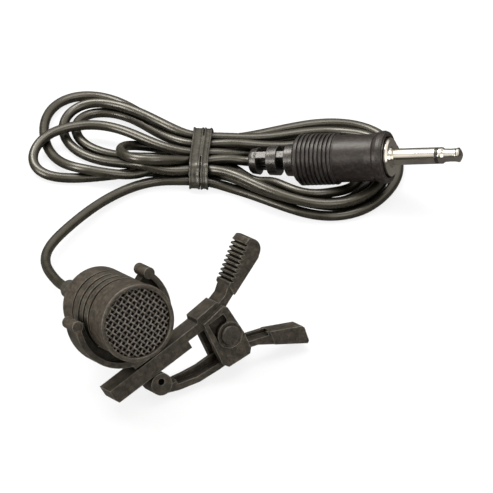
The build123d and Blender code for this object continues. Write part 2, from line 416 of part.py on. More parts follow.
# collar in the mouth of the cover, round the sleeve
plug_collar = revolved([
    (1.52, COVER_END - 1.02), (2.2, COVER_END - 1.02), (2.2, COVER_END + 0.6),
    (3.2, COVER_END + 0.9), (3.8, COVER_END + 0.78), (4.1, COVER_END + 0.4),
    (4.1, COVER_END - 1.95), (3.85, COVER_END - 1.95), (3.85, COVER_END - 8.0),
    (3.3, COVER_END - 8.0), (3.3, COVER_END - 3.2), (1.52, COVER_END - 3.2)],
    PLUG_SECTION, PLUG_AXIS)

SLEEVE_END = COVER_END + 10.45
plug_sleeve = revolved([
    (SLEEVE_BORE_R, COVER_END - 6.0), (1.5, COVER_END - 6.0), (1.5, COVER_END - 1.0),
    (2.15, COVER_END - 1.0), (2.15, COVER_END + 0.6), (2.0, COVER_END + 0.9),
    (PIN_R, COVER_END + 0.9), (PIN_R, SLEEVE_END - 0.05), (PIN_R - 0.05, SLEEVE_END),
    (SLEEVE_BORE_R, SLEEVE_END)], PLUG_SECTION, PLUG_AXIS)

INSULATOR_END = SLEEVE_END + 0.72
plug_insulator = revolved([
    (TIP_ROD_R + FIT, COVER_END - 7.0), (SLEEVE_BORE_R - FIT, COVER_END - 7.0),
    (SLEEVE_BORE_R - FIT, SLEEVE_END + FIT), (PIN_R, SLEEVE_END + FIT),
    (PIN_R, INSULATOR_END), (TIP_ROD_R + FIT, INSULATOR_END)], PLUG_SECTION, PLUG_AXIS)

# rod through the insulator, ending in the waisted tip
plug_tip = revolved([
    (0, COVER_END - 9.0), (TIP_ROD_R, COVER_END - 9.0), (TIP_ROD_R, INSULATOR_END + FIT),
    (PIN_R - 0.03, INSULATOR_END + FIT), (PIN_R, SLEEVE_END + 0.84),
    (PIN_R, SLEEVE_END + 1.45), (1.42, SLEEVE_END + 1.95), (1.36, SLEEVE_END + 3.2),
    (1.42, SLEEVE_END + 4.5), (1.55, SLEEVE_END + 4.85), (1.55, SLEEVE_END + 5.1),
    (1.25, SLEEVE_END + 5.35), (0.5, TIP_END), (0, TIP_END)], PLUG_SECTION, PLUG_AXIS)

# lugs: a plate on the contact and a tag running back towards the cable
TIP_LUG = PLUG.offset(COVER_END - 8.2)
TIP_LUG_W = 1.6
with BuildPart() as plug_tip_lug:
    with BuildSketch(TIP_LUG):
        Rectangle(TIP_LUG_W, 2.4)
        Circle(TIP_ROD_R + FIT, mode=Mode.SUBTRACT)
    extrude(amount=0.4)
    with BuildSketch(TIP_LUG):
        with Locations((0, 1.35)):
            Rectangle(TIP_LUG_W, 0.35)
    extrude(amount=-4.0)

with BuildPart() as plug_sleeve_lug:
    with BuildSketch(PLUG.offset(COVER_END - 6.35)):
        Circle(2.6)
        Circle(SLEEVE_BORE_R + FIT, mode=Mode.SUBTRACT)
    extrude(amount=0.33)
    with BuildSketch(PLUG.offset(COVER_END - 6.3)):
        with Locations((0, -2.35)):
            Rectangle(2.2, 0.4)
    extrude(amount=-8.0)

# from the cable end forward towards the two lugs: side, reference position of the end
PLUG_WIRES = ((1, COVER_END - 12.0), (-1, COVER_END - 13.5))
plug_lead_wires = lead_wires(
    PLUG,
    [[(0, 0.4 * side, 13.6), (0, 0.7 * side, 15.4), (0, 0.85 * side, end - 0.8),
      (0, 0.9 * side, end + 0.5)] for side, end in PLUG_WIRES],
    0.27)

# -------------------------------------------------------------- holder ring
RING_FRONT, RING_BACK = -7.4, -12.4
RING_R = 10.6
RING_WALL = 1.2
RING_Y = -0.3           # ring centre, offset from the capsule axis
RUN = 0.05              # running clearance
MOUTH_ANGLE = 24.0      # slope of the sides of the open mouth
BEAD_X, BEAD_Y, BEAD_R = 9.2, 3.95, 1.2
FOOT_Y = -11.1          # underside of the holder foot
FOOT_W, FOOT_H = 7.0, 2.8
STUD_Z = -9.9           # swivel axis, position along the capsule axis
STUD_R = 1.3            # stud inside the foot
THROUGH = 8             # length of cuts that pass right through ring or clip


def mouth_outline(bottom_y, angle):
    """Wedge opening upwards (+y) from bottom_y, larger than the ring."""
    side_y = bottom_y + 30 * math.tan(math.radians(angle))
    return [(0, bottom_y), (30, side_y), (30, 40), (-30, 40), (-30, side_y)]


with BuildPart() as holder_ring:
    # open ring with beaded ends and a foot
    with BuildSketch(MIC.offset(RING_BACK)):
        with Locations((0, RING_Y)):
            Circle(RING_R)
            Circle(RING_R - RING_WALL, mode=Mode.SUBTRACT)
        with BuildLine():
            Polyline(*mouth_outline(0.2, MOUTH_ANGLE), close=True)
        make_face(mode=Mode.SUBTRACT)
        with Locations((BEAD_X, BEAD_Y), (-BEAD_X, BEAD_Y)):
            Circle(BEAD_R)
        with Locations((0, FOOT_Y + FOOT_H / 2)):
            Rectangle(FOOT_W, FOOT_H)
    extrude(amount=RING_FRONT - RING_BACK)
    # narrower inner band that fills the gap to the capsule
    with BuildSketch(MIC.offset(RING_BACK + 0.5)):
        Circle(RING_R - 0.8)
        Circle(BODY_R + RUN - 0.02, mode=Mode.SUBTRACT)
        with BuildLine():
            Polyline(*mouth_outline(-0.4, MOUTH_ANGLE + 1), close=True)
        make_face(mode=Mode.SUBTRACT)
    extrude(amount=2.5)
    # flat under the foot
    with BuildSketch(MIC.offset(RING_BACK - 1)):
        with Locations((0, FOOT_Y - 2)):
            Rectangle(40, 4)
    extrude(amount=THROUGH, mode=Mode.SUBTRACT)
    # running bore round the capsule
    with BuildSketch(MIC.offset(RING_BACK - 1)):
        Circle(BODY_R + RUN)
    extrude(amount=THROUGH, mode=Mode.SUBTRACT)
    # socket for the swivel stud
    with BuildSketch(Plane(origin=point_in(MIC, 0, FOOT_Y, STUD_Z), x_dir=MIC.x_dir,
                           z_dir=MIC.y_dir)):
        Circle(STUD_R)
    extrude(amount=1.9, mode=Mode.SUBTRACT)

# --------------------------------------------------------------------- clip
JAW_TOP = -11.6
JAW_BOTTOM = -14.85
JAW_FRONT, JAW_BACK = -7.4, -12.3
JAW_WIDTH = JAW_FRONT - JAW_BACK
LEVER_FRONT, LEVER_BACK = -8.0, -11.7
LEVER_WIDTH = LEVER_FRONT - LEVER_BACK
CHEEK_FRONT, CHEEK_BACK = -6.4, -13.3   # outer faces of the hinge cheeks
CHEEK_THICK = 1.5
PIVOT = (16.7, -17.1)
PIVOT_R = 1.2
NOSE = (-0.5, -17.25)   # centre of the roll at the end of the lower lever
NOSE_R = 2.3
STUD_NECK_R = 1.15

# stud: (radius, y) from inside the foot down to the splayed end inside the jaw
swivel_stud = revolved(
    [(0, -9.25), (1.0, -9.25), (STUD_R, -9.5), (STUD_R, FOOT_Y), (2.0, FOOT_Y - 0.02),
     (2.0, JAW_TOP + 0.2), (STUD_NECK_R, JAW_TOP + 0.2), (STUD_NECK_R, JAW_TOP - 1.05),
     (1.75, JAW_TOP - 1.05), (1.55, JAW_TOP - 1.95), (0, JAW_TOP - 1.95)],
    Plane(origin=point_in(MIC, 0, 0, STUD_Z), x_dir=MIC.x_dir, z_dir=MIC.z_dir),
    Axis(point_in(MIC, 0, 0, STUD_Z), MIC.y_dir))

# outlines of the clip are (x, y) in the MIC frame
JAW_OUTLINE = [
    (-10.5, JAW_TOP), (12.4, JAW_TOP + 0.25), (12.7, JAW_TOP + 1.15), (18.1, JAW_TOP + 1.5),
    (18.4, JAW_TOP + 1.0), (20.3, JAW_TOP + 1.55), (21.6, -9.0), (24.5, -7.3), (24.5, -9.8),
    (18.8, -12.35), (16.6, -13.25), (8.9, -13.25), (8.9, JAW_BOTTOM), (-9.9, JAW_BOTTOM),
    (-10.4, JAW_BOTTOM + 0.9),
]
CHEEK_OUTLINE = [
    (13.1, -11.9), (18.6, -11.3), (19.3, -12.0), (19.6, -18.6), (19.2, -22.4),
    (18.4, -23.3), (13.2, -22.85), (12.3, -21.6),
]
PAD_START, PAD_END = Vector(22.3, -8.3, 0), Vector(29.5, -3.25, 0)  # grooved face
PAD_EXTRA = 0.6         # thumb pad beyond each side of the jaw
PAD_GROOVES = 9
PAD_GROOVE_PITCH = 0.965

with BuildPart() as upper_lever:
    # jaw and bridge
    with BuildSketch(MIC.offset(JAW_BACK)):
        with BuildLine():
            Polyline(*JAW_OUTLINE, close=True)
        make_face()
    extrude(amount=JAW_WIDTH)
    # thumb pad
    with BuildSketch(MIC.offset(JAW_BACK - PAD_EXTRA)):
        with BuildLine():
            Polyline((21.9, -8.65), (22.3, -8.3), (29.5, -3.25))
            Line((29.5, -3.25), (30.6, -2.95))
            ThreePointArc((30.6, -2.95), (31.9, -4.6), (31.0, -6.9))
            Line((31.0, -6.9), (30.2, -7.6))
            Polyline((30.2, -7.6), (22.0, -11.0), (21.9, -8.65))
        make_face()
    extrude(amount=JAW_WIDTH + 2 * PAD_EXTRA)
    # V grooves across the thumb pad
    pad_along = (PAD_END - PAD_START).normalized()
    pad_out = Vector(-pad_along.Y, pad_along.X, 0)
    with BuildSketch(MIC.offset(JAW_BACK - 1.2)):
        for i in range(PAD_GROOVES):
            middle = PAD_START + pad_along * (0.55 + PAD_GROOVE_PITCH * i)
            corners = [middle - pad_along * 0.36 + pad_out * 0.12,
                       middle + pad_along * 0.36 + pad_out * 0.12,
                       middle + pad_along * 0.1 - pad_out * 0.78]
            with BuildLine():
                Polyline(*[(corner.X, corner.Y) for corner in corners], close=True)
            make_face()
    extrude(amount=THROUGH, mode=Mode.SUBTRACT)
    # hinge cheeks
    for start in (CHEEK_FRONT - CHEEK_THICK, CHEEK_BACK):
        with BuildSketch(MIC.offset(start)):
            with BuildLine():
                Polyline(*CHEEK_OUTLINE, close=True)
            make_face()
        extrude(amount=CHEEK_THICK)
    # pocket in the front cheek, above the pivot
    with BuildSketch(MIC.offset(CHEEK_FRONT - 1.0)):
        with BuildLine():
            Polyline((13.9, -12.6), (17.8, -12.6), (17.8, -14.2), (13.9, -17.2), close=True)
        make_face()
    extrude(amount=2, mode=Mode.SUBTRACT)
    # raised rim round the pin head
    with BuildSketch(MIC.offset(CHEEK_FRONT - 0.6)):
        with Locations(PIVOT):
            Circle(2.75)
    extrude(amount=1.0)
    with BuildSketch(MIC.offset(CHEEK_FRONT)):
        with Locations(PIVOT):
            Circle(2.12)
    extrude(amount=1.0, mode=Mode.SUBTRACT)
    # pin bore
    with BuildSketch(MIC.offset(CHEEK_BACK - 1)):
        with Locations(PIVOT):
            Circle(PIVOT_R)
    extrude(amount=THROUGH + 1, mode=Mode.SUBTRACT)
    # swivel hole down through the jaw, wider below for the end of the stud
    for start_y, radius in ((JAW_TOP + 1, STUD_NECK_R + RUN), (JAW_TOP - 1.0, 1.85)):
        with BuildSketch(Plane(origin=point_in(MIC, 0, start_y, STUD_Z), x_dir=MIC.x_dir,
                               z_dir=-MIC.y_dir)):
            Circle(radius)
        extrude(amount=5, mode=Mode.SUBTRACT)
    # nest for the nose of the lower lever
    with BuildSketch(MIC.offset(JAW_BACK - 1)):
        with Locations(NOSE):
            Circle(NOSE_R + 0.12)
    extrude(amount=THROUGH, mode=Mode.SUBTRACT)

GRIP_END = [(24.7, -22.7), (31.2, -26.1), (31.45, -26.7), (30.9, -29.6), (30.4, -30.0)]
LOWER_OUTLINE = [
    (0.6, -17.6), (1.6, -18.75), (5.2, -19.6), (8.8, -20.2), (13.2, -20.3), (14.0, -18.5),
    (19.3, -18.5), (19.9, -20.9), *GRIP_END, (21.2, -23.6), (19.3, -22.9), (11.7, -22.75),
    (6.7, -22.25), (2.2, -20.95), (-1.43, -19.35),
]
GRIP_EXTRA = 0.35       # grip pad beyond each side of the lever
CHANNEL_WALL = 0.85
CHANNELS = [
    [(3.0, -17.9), (3.0, -20.0), (6.8, -21.25), (11.7, -21.8), (13.2, -21.85),
     (13.2, -17.9)],
    [(20.2, -19.5), (20.2, -21.9), (24.9, -23.7), (24.9, -19.5)],
]
FRONT_WALL_CUTS = [
    [(2.6, -17.9), (2.6, -19.65), (6.7, -20.95), (11.7, -21.5), (13.4, -21.55),
     (13.4, -17.9)],
    [(19.9, -19.5), (19.9, -21.75), (24.2, -23.35), (24.2, -19.5)],
]
HUB_WIDTH = 2.0

with BuildPart() as lower_lever:
    with BuildSketch(MIC.offset(LEVER_BACK)):
        with BuildLine():
            Polyline(*LOWER_OUTLINE, close=True)
        make_face()
    extrude(amount=LEVER_WIDTH)
    # nose roll
    with BuildSketch(MIC.offset(JAW_BACK)):
        with Locations(NOSE):
            Circle(NOSE_R)
    extrude(amount=5.0)
    # widened grip pad
    with BuildSketch(MIC.offset(LEVER_BACK - GRIP_EXTRA)):
        with BuildLine():
            Polyline(*GRIP_END, (24.2, -25.7), close=True)
        make_face()
    extrude(amount=LEVER_WIDTH + 2 * GRIP_EXTRA)
    # channels open towards the upper lever
    with BuildSketch(MIC.offset(LEVER_BACK + CHANNEL_WALL)):
        for channel in CHANNELS:
            with BuildLine():
                Polyline(*channel, close=True)
            make_face()
    extrude(amount=LEVER_WIDTH - 2 * CHANNEL_WALL, mode=Mode.SUBTRACT)
    # the channels' front wall is lower than the back wall
    with BuildSketch(MIC.offset(LEVER_FRONT - 0.9)):
        for wall_cut in FRONT_WALL_CUTS:
            with BuildLine():
                Polyline(*wall_cut, close=True)
            make_face()
    extrude(amount=2, mode=Mode.SUBTRACT)
    # hub round the pivot, behind the spring
    with BuildSketch(MIC.offset(LEVER_BACK)):
        with Locations(PIVOT):
            Circle(2.9)
        with BuildLine():
            Polyline((13.9, -18.0), (19.5, -18.0), (19.5, -21.5), (13.9, -21.5), close=True)
        make_face()
    extrude(amount=HUB_WIDTH)
    # room for the spring
    with BuildSketch(MIC.offset(LEVER_BACK + HUB_WIDTH)):
        with Locations(PIVOT):
            Circle(2.75)
    extrude(amount=3, mode=Mode.SUBTRACT)
    # pin bore and a small hole through the nose
    with BuildSketch(MIC.offset(LEVER_BACK - 1)):
        with Locations(PIVOT):
            Circle(PIVOT_R + 0.06)
        with Locations((NOSE[0] + 0.2, NOSE[1] + 0.5)):
            Circle(0.72)
    extrude(amount=THROUGH, mode=Mode.SUBTRACT)

PIN_TAIL = 0.9          # pin beyond the back cheek
with BuildPart() as pivot_pin:
    with BuildSketch(MIC.offset(CHEEK_BACK - PIN_TAIL)):
        with Locations(PIVOT):
            Circle(PIVOT_R)
    extrude(amount=CHEEK_FRONT - CHEEK_BACK + PIN_TAIL)
    # head, its front edge rounded
    with BuildSketch(MIC.offset(CHEEK_FRONT)):
        with Locations(PIVOT):
            Circle(2.05)
    extrude(amount=1.1)
    fillet(pivot_pin.edges().group_by(MIC_AXIS)[-1], 0.3)

# washer on the tail of the pin, behind the back cheek
with BuildPart() as pin_retainer:
    with BuildSketch(MIC.offset(CHEEK_BACK - 0.62)):
        with Locations(PIVOT):
            Circle(2.1)
            Circle(PIVOT_R, mode=Mode.SUBTRACT)
    extrude(amount=0.6)

SPRING_R = 1.75         # coil radius to the wire centre
WIRE_R = 0.2
SPRING_BACK = -9.35
SPRING_LENGTH = 1.1
SPRING_TURNS = 2.5
SPRING_STEPS = 72
spring_frame = Plane(origin=point_in(MIC, *PIVOT, SPRING_BACK), x_dir=MIC.x_dir,
                     z_dir=MIC.z_dir)
coil_points = []
for step in range(SPRING_STEPS + 1):
    fraction = step / SPRING_STEPS
    angle = math.radians(90 + 360 * SPRING_TURNS * fraction)
    coil_points.append(point_in(spring_frame, SPRING_R * math.cos(angle),
                                SPRING_R * math.sin(angle), SPRING_LENGTH * fraction))
with BuildPart() as torsion_spring:
    with BuildLine() as spring_path:
        Spline(*coil_points)
    with BuildSketch(Plane(origin=spring_path.line @ 0, z_dir=spring_path.line % 0)):
        Circle(WIRE_R)
    sweep()

# ------------------------------------------------------------------- export
PIECES = {
    "capsule_housing": capsule_housing,
    "front_bezel": front_bezel,
    "grille_mesh": grille_mesh,
    "grille_retainer": grille_retainer,
    "foam_disc": foam_disc,
    "electret_element": electret_element,
    "element_gasket": element_gasket,
    "element_board": element_board,
    "rear_cap": rear_cap,
    "cable_boot": cable_boot,
    "cable_crimp": cable_crimp,
    "mic_lead_wires": mic_lead_wires,
    "cable_jacket": cable_jacket,
    "cable_tie": cable_tie,
    "plug_strain_relief": plug_strain_relief,
    "plug_cover": plug_cover,
    "plug_collar": plug_collar,
    "plug_sleeve": plug_sleeve,
    "plug_insulator": plug_insulator,
    "plug_tip": plug_tip,
    "plug_tip_lug": plug_tip_lug,
    "plug_sleeve_lug": plug_sleeve_lug,
    "plug_lead_wires": plug_lead_wires,
    "holder_ring": holder_ring,
    "swivel_stud": swivel_stud,
    "upper_lever": upper_lever,
    "lower_lever": lower_lever,
    "pivot_pin": pivot_pin,
    "pin_retainer": pin_retainer,
    "torsion_spring": torsion_spring,
}
for name, piece in PIECES.items():
    piece.part.label = name
    export_step(piece.part, f"parts/{name}.step")
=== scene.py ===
"""Clip-on microphone with a coiled, tied cable and a jack plug.

It lies on the floor, z = 0. The microphone is at the front left (-x, -y), its face turned to the
front (-y) and up. The coil lies behind it along x, with the tie near its middle, and the plug
points right (+x). Sizes are in millimetres unless a comment says metres.
"""
import math
import bpy
import bmesh
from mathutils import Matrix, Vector


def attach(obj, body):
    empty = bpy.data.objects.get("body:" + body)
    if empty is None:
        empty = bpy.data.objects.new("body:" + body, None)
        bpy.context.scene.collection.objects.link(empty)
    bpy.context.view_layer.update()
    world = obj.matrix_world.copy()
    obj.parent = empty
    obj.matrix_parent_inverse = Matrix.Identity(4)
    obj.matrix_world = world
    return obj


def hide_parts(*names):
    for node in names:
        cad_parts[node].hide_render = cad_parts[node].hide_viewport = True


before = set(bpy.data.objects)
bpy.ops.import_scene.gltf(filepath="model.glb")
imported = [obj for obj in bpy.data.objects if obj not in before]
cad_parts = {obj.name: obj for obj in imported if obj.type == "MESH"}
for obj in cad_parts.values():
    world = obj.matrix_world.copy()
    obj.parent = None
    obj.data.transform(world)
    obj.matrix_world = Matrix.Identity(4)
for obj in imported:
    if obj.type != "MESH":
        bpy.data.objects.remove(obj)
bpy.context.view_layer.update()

MM = 0.001
ROOT = "microphone_and_cable"
UP = Vector((0, 0, 1))

# Microphone frame: z points out of its face, x and y lie across the face.
MIC_ORIGIN = Vector((-20.8642, -48.1865, 22.4144))
MIC_Z = Vector((0.43564, -0.79779, 0.41684)).normalized()
MIC_X = Vector((0.77139, 0.56952, 0.28387))
MIC_X = (MIC_X - MIC_Z * MIC_X.dot(MIC_Z)).normalized()
MIC_Y = MIC_Z.cross(MIC_X)

# Along the plug, away from the cable.
PLUG_AXIS = Vector((0.93379, -0.25894, 0.24694)).normalized()


# ---------------------------------------------------------------- shader helpers
def set_inputs(tree, node, inputs):
    """Link each input given a socket; set the others. RGB colours get an alpha of 1."""
    for key, value in inputs.items():
        socket = node.inputs[key]
        if isinstance(value, bpy.types.NodeSocket):
            tree.links.new(value, socket)
        elif socket.type == "RGBA":
            socket.default_value = (*value, 1)
        else:
            socket.default_value = value


def add_node(tree, kind, inputs=None, **properties):
    node = tree.nodes.new("ShaderNode" + kind)
    for key, value in properties.items():
        setattr(node, key, value)
    set_inputs(tree, node, inputs or {})
    return node


def new_material(name):
    material = bpy.data.materials.new(name)
    material.use_nodes = True
    tree = material.node_tree
    tree.nodes.clear()
    output = add_node(tree, "OutputMaterial")
    shader = add_node(tree, "BsdfPrincipled")
    tree.links.new(shader.outputs[0], output.inputs[0])
    return material, tree, shader


def object_coords(tree):
    return add_node(tree, "TexCoord").outputs["Object"]


def noise(tree, vector, **inputs):
    return add_node(tree, "TexNoise", {"Vector": vector, **inputs}).outputs["Fac"]


def cells(tree, vector, scale):
    voronoi = add_node(tree, "TexVoronoi", {"Vector": vector, "Scale": scale})
    return voronoi.outputs["Distance"]


def grey(value):
    return (value, value, value)


def ramp(tree, factor, stops):
    """Colour ramp; stops are (position, RGB)."""
    node = add_node(tree, "ValToRGB", {0: factor})
    elements = node.color_ramp.elements
    while len(elements) < len(stops):
        elements.new(0.5)
    for element, (position, colour) in zip(elements, stops):
        element.position = position
        element.color = (*colour, 1)
    return node.outputs[0]


def mix(tree, factor, first, second, blend="MIX"):
    inputs = {0: factor, 6: first, 7: second}
    return add_node(tree, "Mix", inputs, data_type="RGBA", blend_type=blend).outputs[2]


def calculate(tree, operation, first, second):
    return add_node(tree, "Math", {0: first, 1: second}, operation=operation).outputs[0]


def dot_product(tree, first, second):
    node = add_node(tree, "VectorMath", {0: first, 1: second}, operation="DOT_PRODUCT")
    return node.outputs["Value"]


def rounded_normal(tree, radius):
    return add_node(tree, "Bevel", {"Radius": radius * MM}, samples=6).outputs[0]


def occlusion(tree, samples, distance):
    inputs = {"Distance": distance * MM}
    return add_node(tree, "AmbientOcclusion", inputs, samples=samples).outputs["AO"]


def bump_normal(tree, height, strength, depth, normal=None):
    inputs = {"Height": height, "Strength": strength, "Distance": depth * MM}
    if normal is not None:
        inputs["Normal"] = normal
    return add_node(tree, "Bump", inputs).outputs[0]


# --------------------------------------------------------------------- materials
# Noise and cell scales are per metre.
def moulded(name, dark, light, edge, rough, grain=2600.0, bump=0.25, radius=0.22,
            edge_amount=0.8, spec=0.5, blotch=260.0):
    """Moulded plastic or rubber: cloudy patches of two tones, fine grain, paler edges (partly
    rubbed wear, partly painted highlight), painted shade in crevices.

    rough is the lowest and highest roughness; grain and blotch are texture scales;
    radius rounds the shading of the edges.
    """
    material, tree, shader = new_material(name)
    coords = object_coords(tree)
    cloud = noise(tree, coords, Scale=blotch, Detail=5.0, Roughness=0.6)
    fine = noise(tree, coords, Scale=grain, Detail=3.0, Roughness=0.7)
    spark = cells(tree, coords, scale=grain * 1.1)

    # Two tones, speckled by the fine grain and mottled by a coarser one.
    colour = ramp(tree, cloud, [(0.3, dark), (0.72, light)])
    speckle = ramp(tree, fine, [
        (0.36, (0.62, 0.62, 0.60)), (0.5, grey(1)), (0.66, (1.5, 1.46, 1.40))])
    colour = mix(tree, 1.0, colour, speckle, blend="MULTIPLY")
    medium = noise(tree, coords, Scale=grain * 0.42, Detail=2.0, Roughness=0.6)
    mottle = ramp(tree, medium, [
        (0.34, (0.46, 0.50, 0.45)), (0.5, grey(1)), (0.66, (1.75, 1.60, 1.52))])
    colour = mix(tree, 0.8, colour, mottle, blend="MULTIPLY")

    # Where the rounded normal leaves the true one an edge turns; there the colour is painted
    # paler, partly as rubbed wear and partly as a painted highlight.
    rounded = rounded_normal(tree, radius)
    true_normal = add_node(tree, "NewGeometry").outputs["Normal"]
    agreement = dot_product(tree, rounded, true_normal)
    turning = ramp(tree, agreement, [(0.86, grey(1)), (0.992, grey(0))])
    patchy_wear_and_highlight = ramp(tree, cloud, [(0.35, grey(0.25 * edge_amount)), (0.65, grey(edge_amount))])
    rub_and_highlight = calculate(tree, "MULTIPLY", turning, patchy_wear_and_highlight)
    colour = mix(tree, rub_and_highlight, colour, edge)

    # Painted shade: crevices are darkened and made less shiny by ambient occlusion.
    open_sky = occlusion(tree, samples=6, distance=2.2)
    shade = ramp(tree, open_sky, [(0.15, (0.12, 0.11, 0.10)), (0.85, grey(1))])
    relief = calculate(tree, "ADD", fine, spark)
    set_inputs(tree, shader, {
        "Base Color": mix(tree, 1.0, colour, shade, blend="MULTIPLY"),
        "Specular IOR Level": calculate(tree, "MULTIPLY", shade, spec),
        "Specular Tint": (1.0, 0.955, 0.87),
        "Roughness": ramp(tree, fine, [(0.3, grey(rough[0])), (0.7, grey(rough[1]))]),
        "Normal": bump_normal(tree, relief, strength=bump, depth=0.05, normal=rounded),
    })
    return material


def metal(name, colour, rough, turned=None):
    """Metal with faint smudges and fine marks, set along the axis `turned` if given.

    rough is the roughness of clean and of smudged metal.
    """
    material, tree, shader = new_material(name)
    coords = object_coords(tree)
    smudge = noise(tree, coords, Scale=225.0, Detail=4.0)
    mark_coords = coords
    if turned is not None:
        along = dot_product(tree, coords, tuple(turned))
        mark_coords = add_node(tree, "CombineXYZ", {0: along}).outputs[0]
    marks = noise(tree, mark_coords, Scale=7200.0, Detail=2.0)
    smudged = tuple(v * 0.75 for v in colour)
    rounded = rounded_normal(tree, radius=0.05)
    set_inputs(tree, shader, {
        "Metallic": 1.0,
        "Base Color": ramp(tree, smudge, [(0.3, smudged), (0.6, colour)]),
        "Roughness": ramp(tree, smudge, [(0.3, grey(rough[1])), (0.65, grey(rough[0]))]),
        "Normal": bump_normal(tree, marks, strength=0.12, depth=0.01, normal=rounded),
    })
    return material


def foam(name, colour):
    """Open-celled foam, with painted shade darkening the pores at the cell centres."""
    material, tree, shader = new_material(name)
    cell = cells(tree, object_coords(tree), scale=3200.0)
    pore_shade = tuple(v * 0.3 for v in colour)
    set_inputs(tree, shader, {
        "Base Color": ramp(tree, cell, [(0.1, pore_shade), (0.6, colour)]),
        "Roughness": 0.95,
        "Normal": bump_normal(tree, cell, strength=0.8, depth=0.15),
    })
    return material


def cable_rubber():
    """Soft cable jacket: satin sheen, faint draw lines along the run, slight scuffing, painted
    shade in the gaps between strands.
    """
    material, tree, shader = new_material("cable_jacket")
    coords = object_coords(tree)
    run = add_node(tree, "UVMap", uv_map="run").outputs[0]
    stretched = add_node(tree, "Mapping", {"Vector": run, "Scale": (6.0, 40.0, 1.0)})
    lines = noise(tree, stretched.outputs[0], Scale=1.0, Detail=3.0)
    scuff = noise(tree, coords, Scale=420.0, Detail=5.0)
    fine = noise(tree, coords, Scale=5200.0, Detail=2.0)
    colour = ramp(tree, scuff, [
        (0.3, (0.0150, 0.0132, 0.0082)), (0.7, (0.0265, 0.0240, 0.0160))])
    # Painted shade: the gaps between strands are darkened and made less shiny by ambient
    # occlusion.
    open_sky = occlusion(tree, samples=8, distance=3.0)
    shade = ramp(tree, open_sky, [
        (0.18, (0.10, 0.095, 0.08)), (0.5, (0.55, 0.55, 0.53)), (0.85, grey(1))])
    relief = calculate(tree, "ADD", fine, lines)
    set_inputs(tree, shader, {
        "Base Color": mix(tree, 1.0, colour, shade, blend="MULTIPLY"),
        "Roughness": ramp(tree, scuff, [(0.3, grey(0.24)), (0.7, grey(0.34))]),
        "Specular IOR Level": calculate(tree, "MULTIPLY", shade, 0.85),
        "Specular Tint": (1.0, 0.95, 0.84),
        "Normal": bump_normal(tree, relief, strength=0.16, depth=0.05),
    })
    return material


def grille_wire():
    """Dull, half-metallic wire."""
    material, tree, shader = new_material("grille_wire")
    tarnish = noise(tree, object_coords(tree), Scale=1500.0, Detail=4.0)
    set_inputs(tree, shader, {
        "Base Color": ramp(tree, tarnish, [
            (0.3, (0.10, 0.086, 0.070)), (0.7, (0.24, 0.215, 0.185))]),
        "Roughness": ramp(tree, tarnish, [(0.3, grey(0.34)), (0.7, grey(0.5))]),
        "Metallic": 0.55,
        "Specular IOR Level": 0.7,
        "Normal": bump_normal(tree, tarnish, strength=0.2, depth=0.03),
    })
    return material


# Each edge colour is the paler edge colour: partly rubbed wear, partly painted highlight.
BARREL = moulded(
    "barrel_plastic", dark=(0.027, 0.0215, 0.0155), light=(0.049, 0.040, 0.030),
    edge=(0.27, 0.258, 0.212), rough=(0.36, 0.54), spec=0.55, edge_amount=0.9, radius=0.26)
CLIP = moulded(
    "clip_plastic", dark=(0.022, 0.0182, 0.0132), light=(0.045, 0.0375, 0.0280),
    edge=(0.34, 0.320, 0.262), rough=(0.33, 0.53), bump=0.55, grain=2000.0, radius=0.28)
BOOT = moulded(
    "boot_rubber", dark=(0.03, 0.027, 0.02), light=(0.045, 0.041, 0.032),
    edge=(0.07, 0.065, 0.052), rough=(0.5, 0.66))
TIE = moulded(
    "tie_plastic", dark=(0.016, 0.0145, 0.0105), light=(0.038, 0.035, 0.026),
    edge=(0.30, 0.285, 0.225), rough=(0.24, 0.42), spec=0.7, grain=1700.0)
RELIEF = moulded(
    "relief_rubber", dark=(0.011, 0.0095, 0.0095), light=(0.022, 0.0190, 0.0195),
    edge=(0.26, 0.25, 0.255), rough=(0.22, 0.38), radius=0.24, spec=0.8)
COVER = moulded(
    "cover_plastic", dark=(0.013, 0.0100, 0.0098), light=(0.022, 0.0175, 0.0170),
    edge=(0.30, 0.285, 0.270), rough=(0.28, 0.44), bump=0.2, radius=0.14, blotch=420.0,
    spec=0.4)
INSULATOR = moulded(
    "ring_plastic", dark=grey(0.01), light=grey(0.02), edge=grey(0.06), rough=(0.3, 0.45),
    radius=0.05)
GASKET = moulded(
    "gasket_rubber", dark=grey(0.012), light=grey(0.02), edge=grey(0.04), rough=(0.6, 0.8))
BOARD = moulded(
    "board_laminate", dark=(0.02, 0.12, 0.05), light=(0.03, 0.17, 0.07),
    edge=(0.3, 0.35, 0.2), rough=(0.3, 0.5))
LEAD = moulded(
    "lead_insulation", dark=(0.32, 0.03, 0.02), light=(0.42, 0.05, 0.03),
    edge=(0.5, 0.1, 0.08), rough=(0.4, 0.5), radius=0.05)
CHROME = metal("chrome_plate", colour=(0.70, 0.665, 0.61), rough=(0.07, 0.17), turned=PLUG_AXIS)
COLLAR = metal("collar_plate", colour=(0.84, 0.80, 0.73), rough=(0.12, 0.26), turned=PLUG_AXIS)
PIN = moulded(
    "pin_head", dark=(0.026, 0.0215, 0.0170), light=(0.048, 0.040, 0.032),
    edge=(0.20, 0.185, 0.155), rough=(0.34, 0.5), radius=0.25, bump=0.2)
STEEL = metal("dark_steel", colour=(0.32, 0.31, 0.29), rough=(0.25, 0.45))
CAN = metal("drawn_aluminium", colour=(0.78, 0.78, 0.79), rough=(0.2, 0.35), turned=MIC_Z)
BRASS = metal("brass", colour=(0.75, 0.56, 0.26), rough=(0.22, 0.4))
FOAM = foam("foam", colour=grey(0.010))
CABLE = cable_rubber()
WIRE = grille_wire()

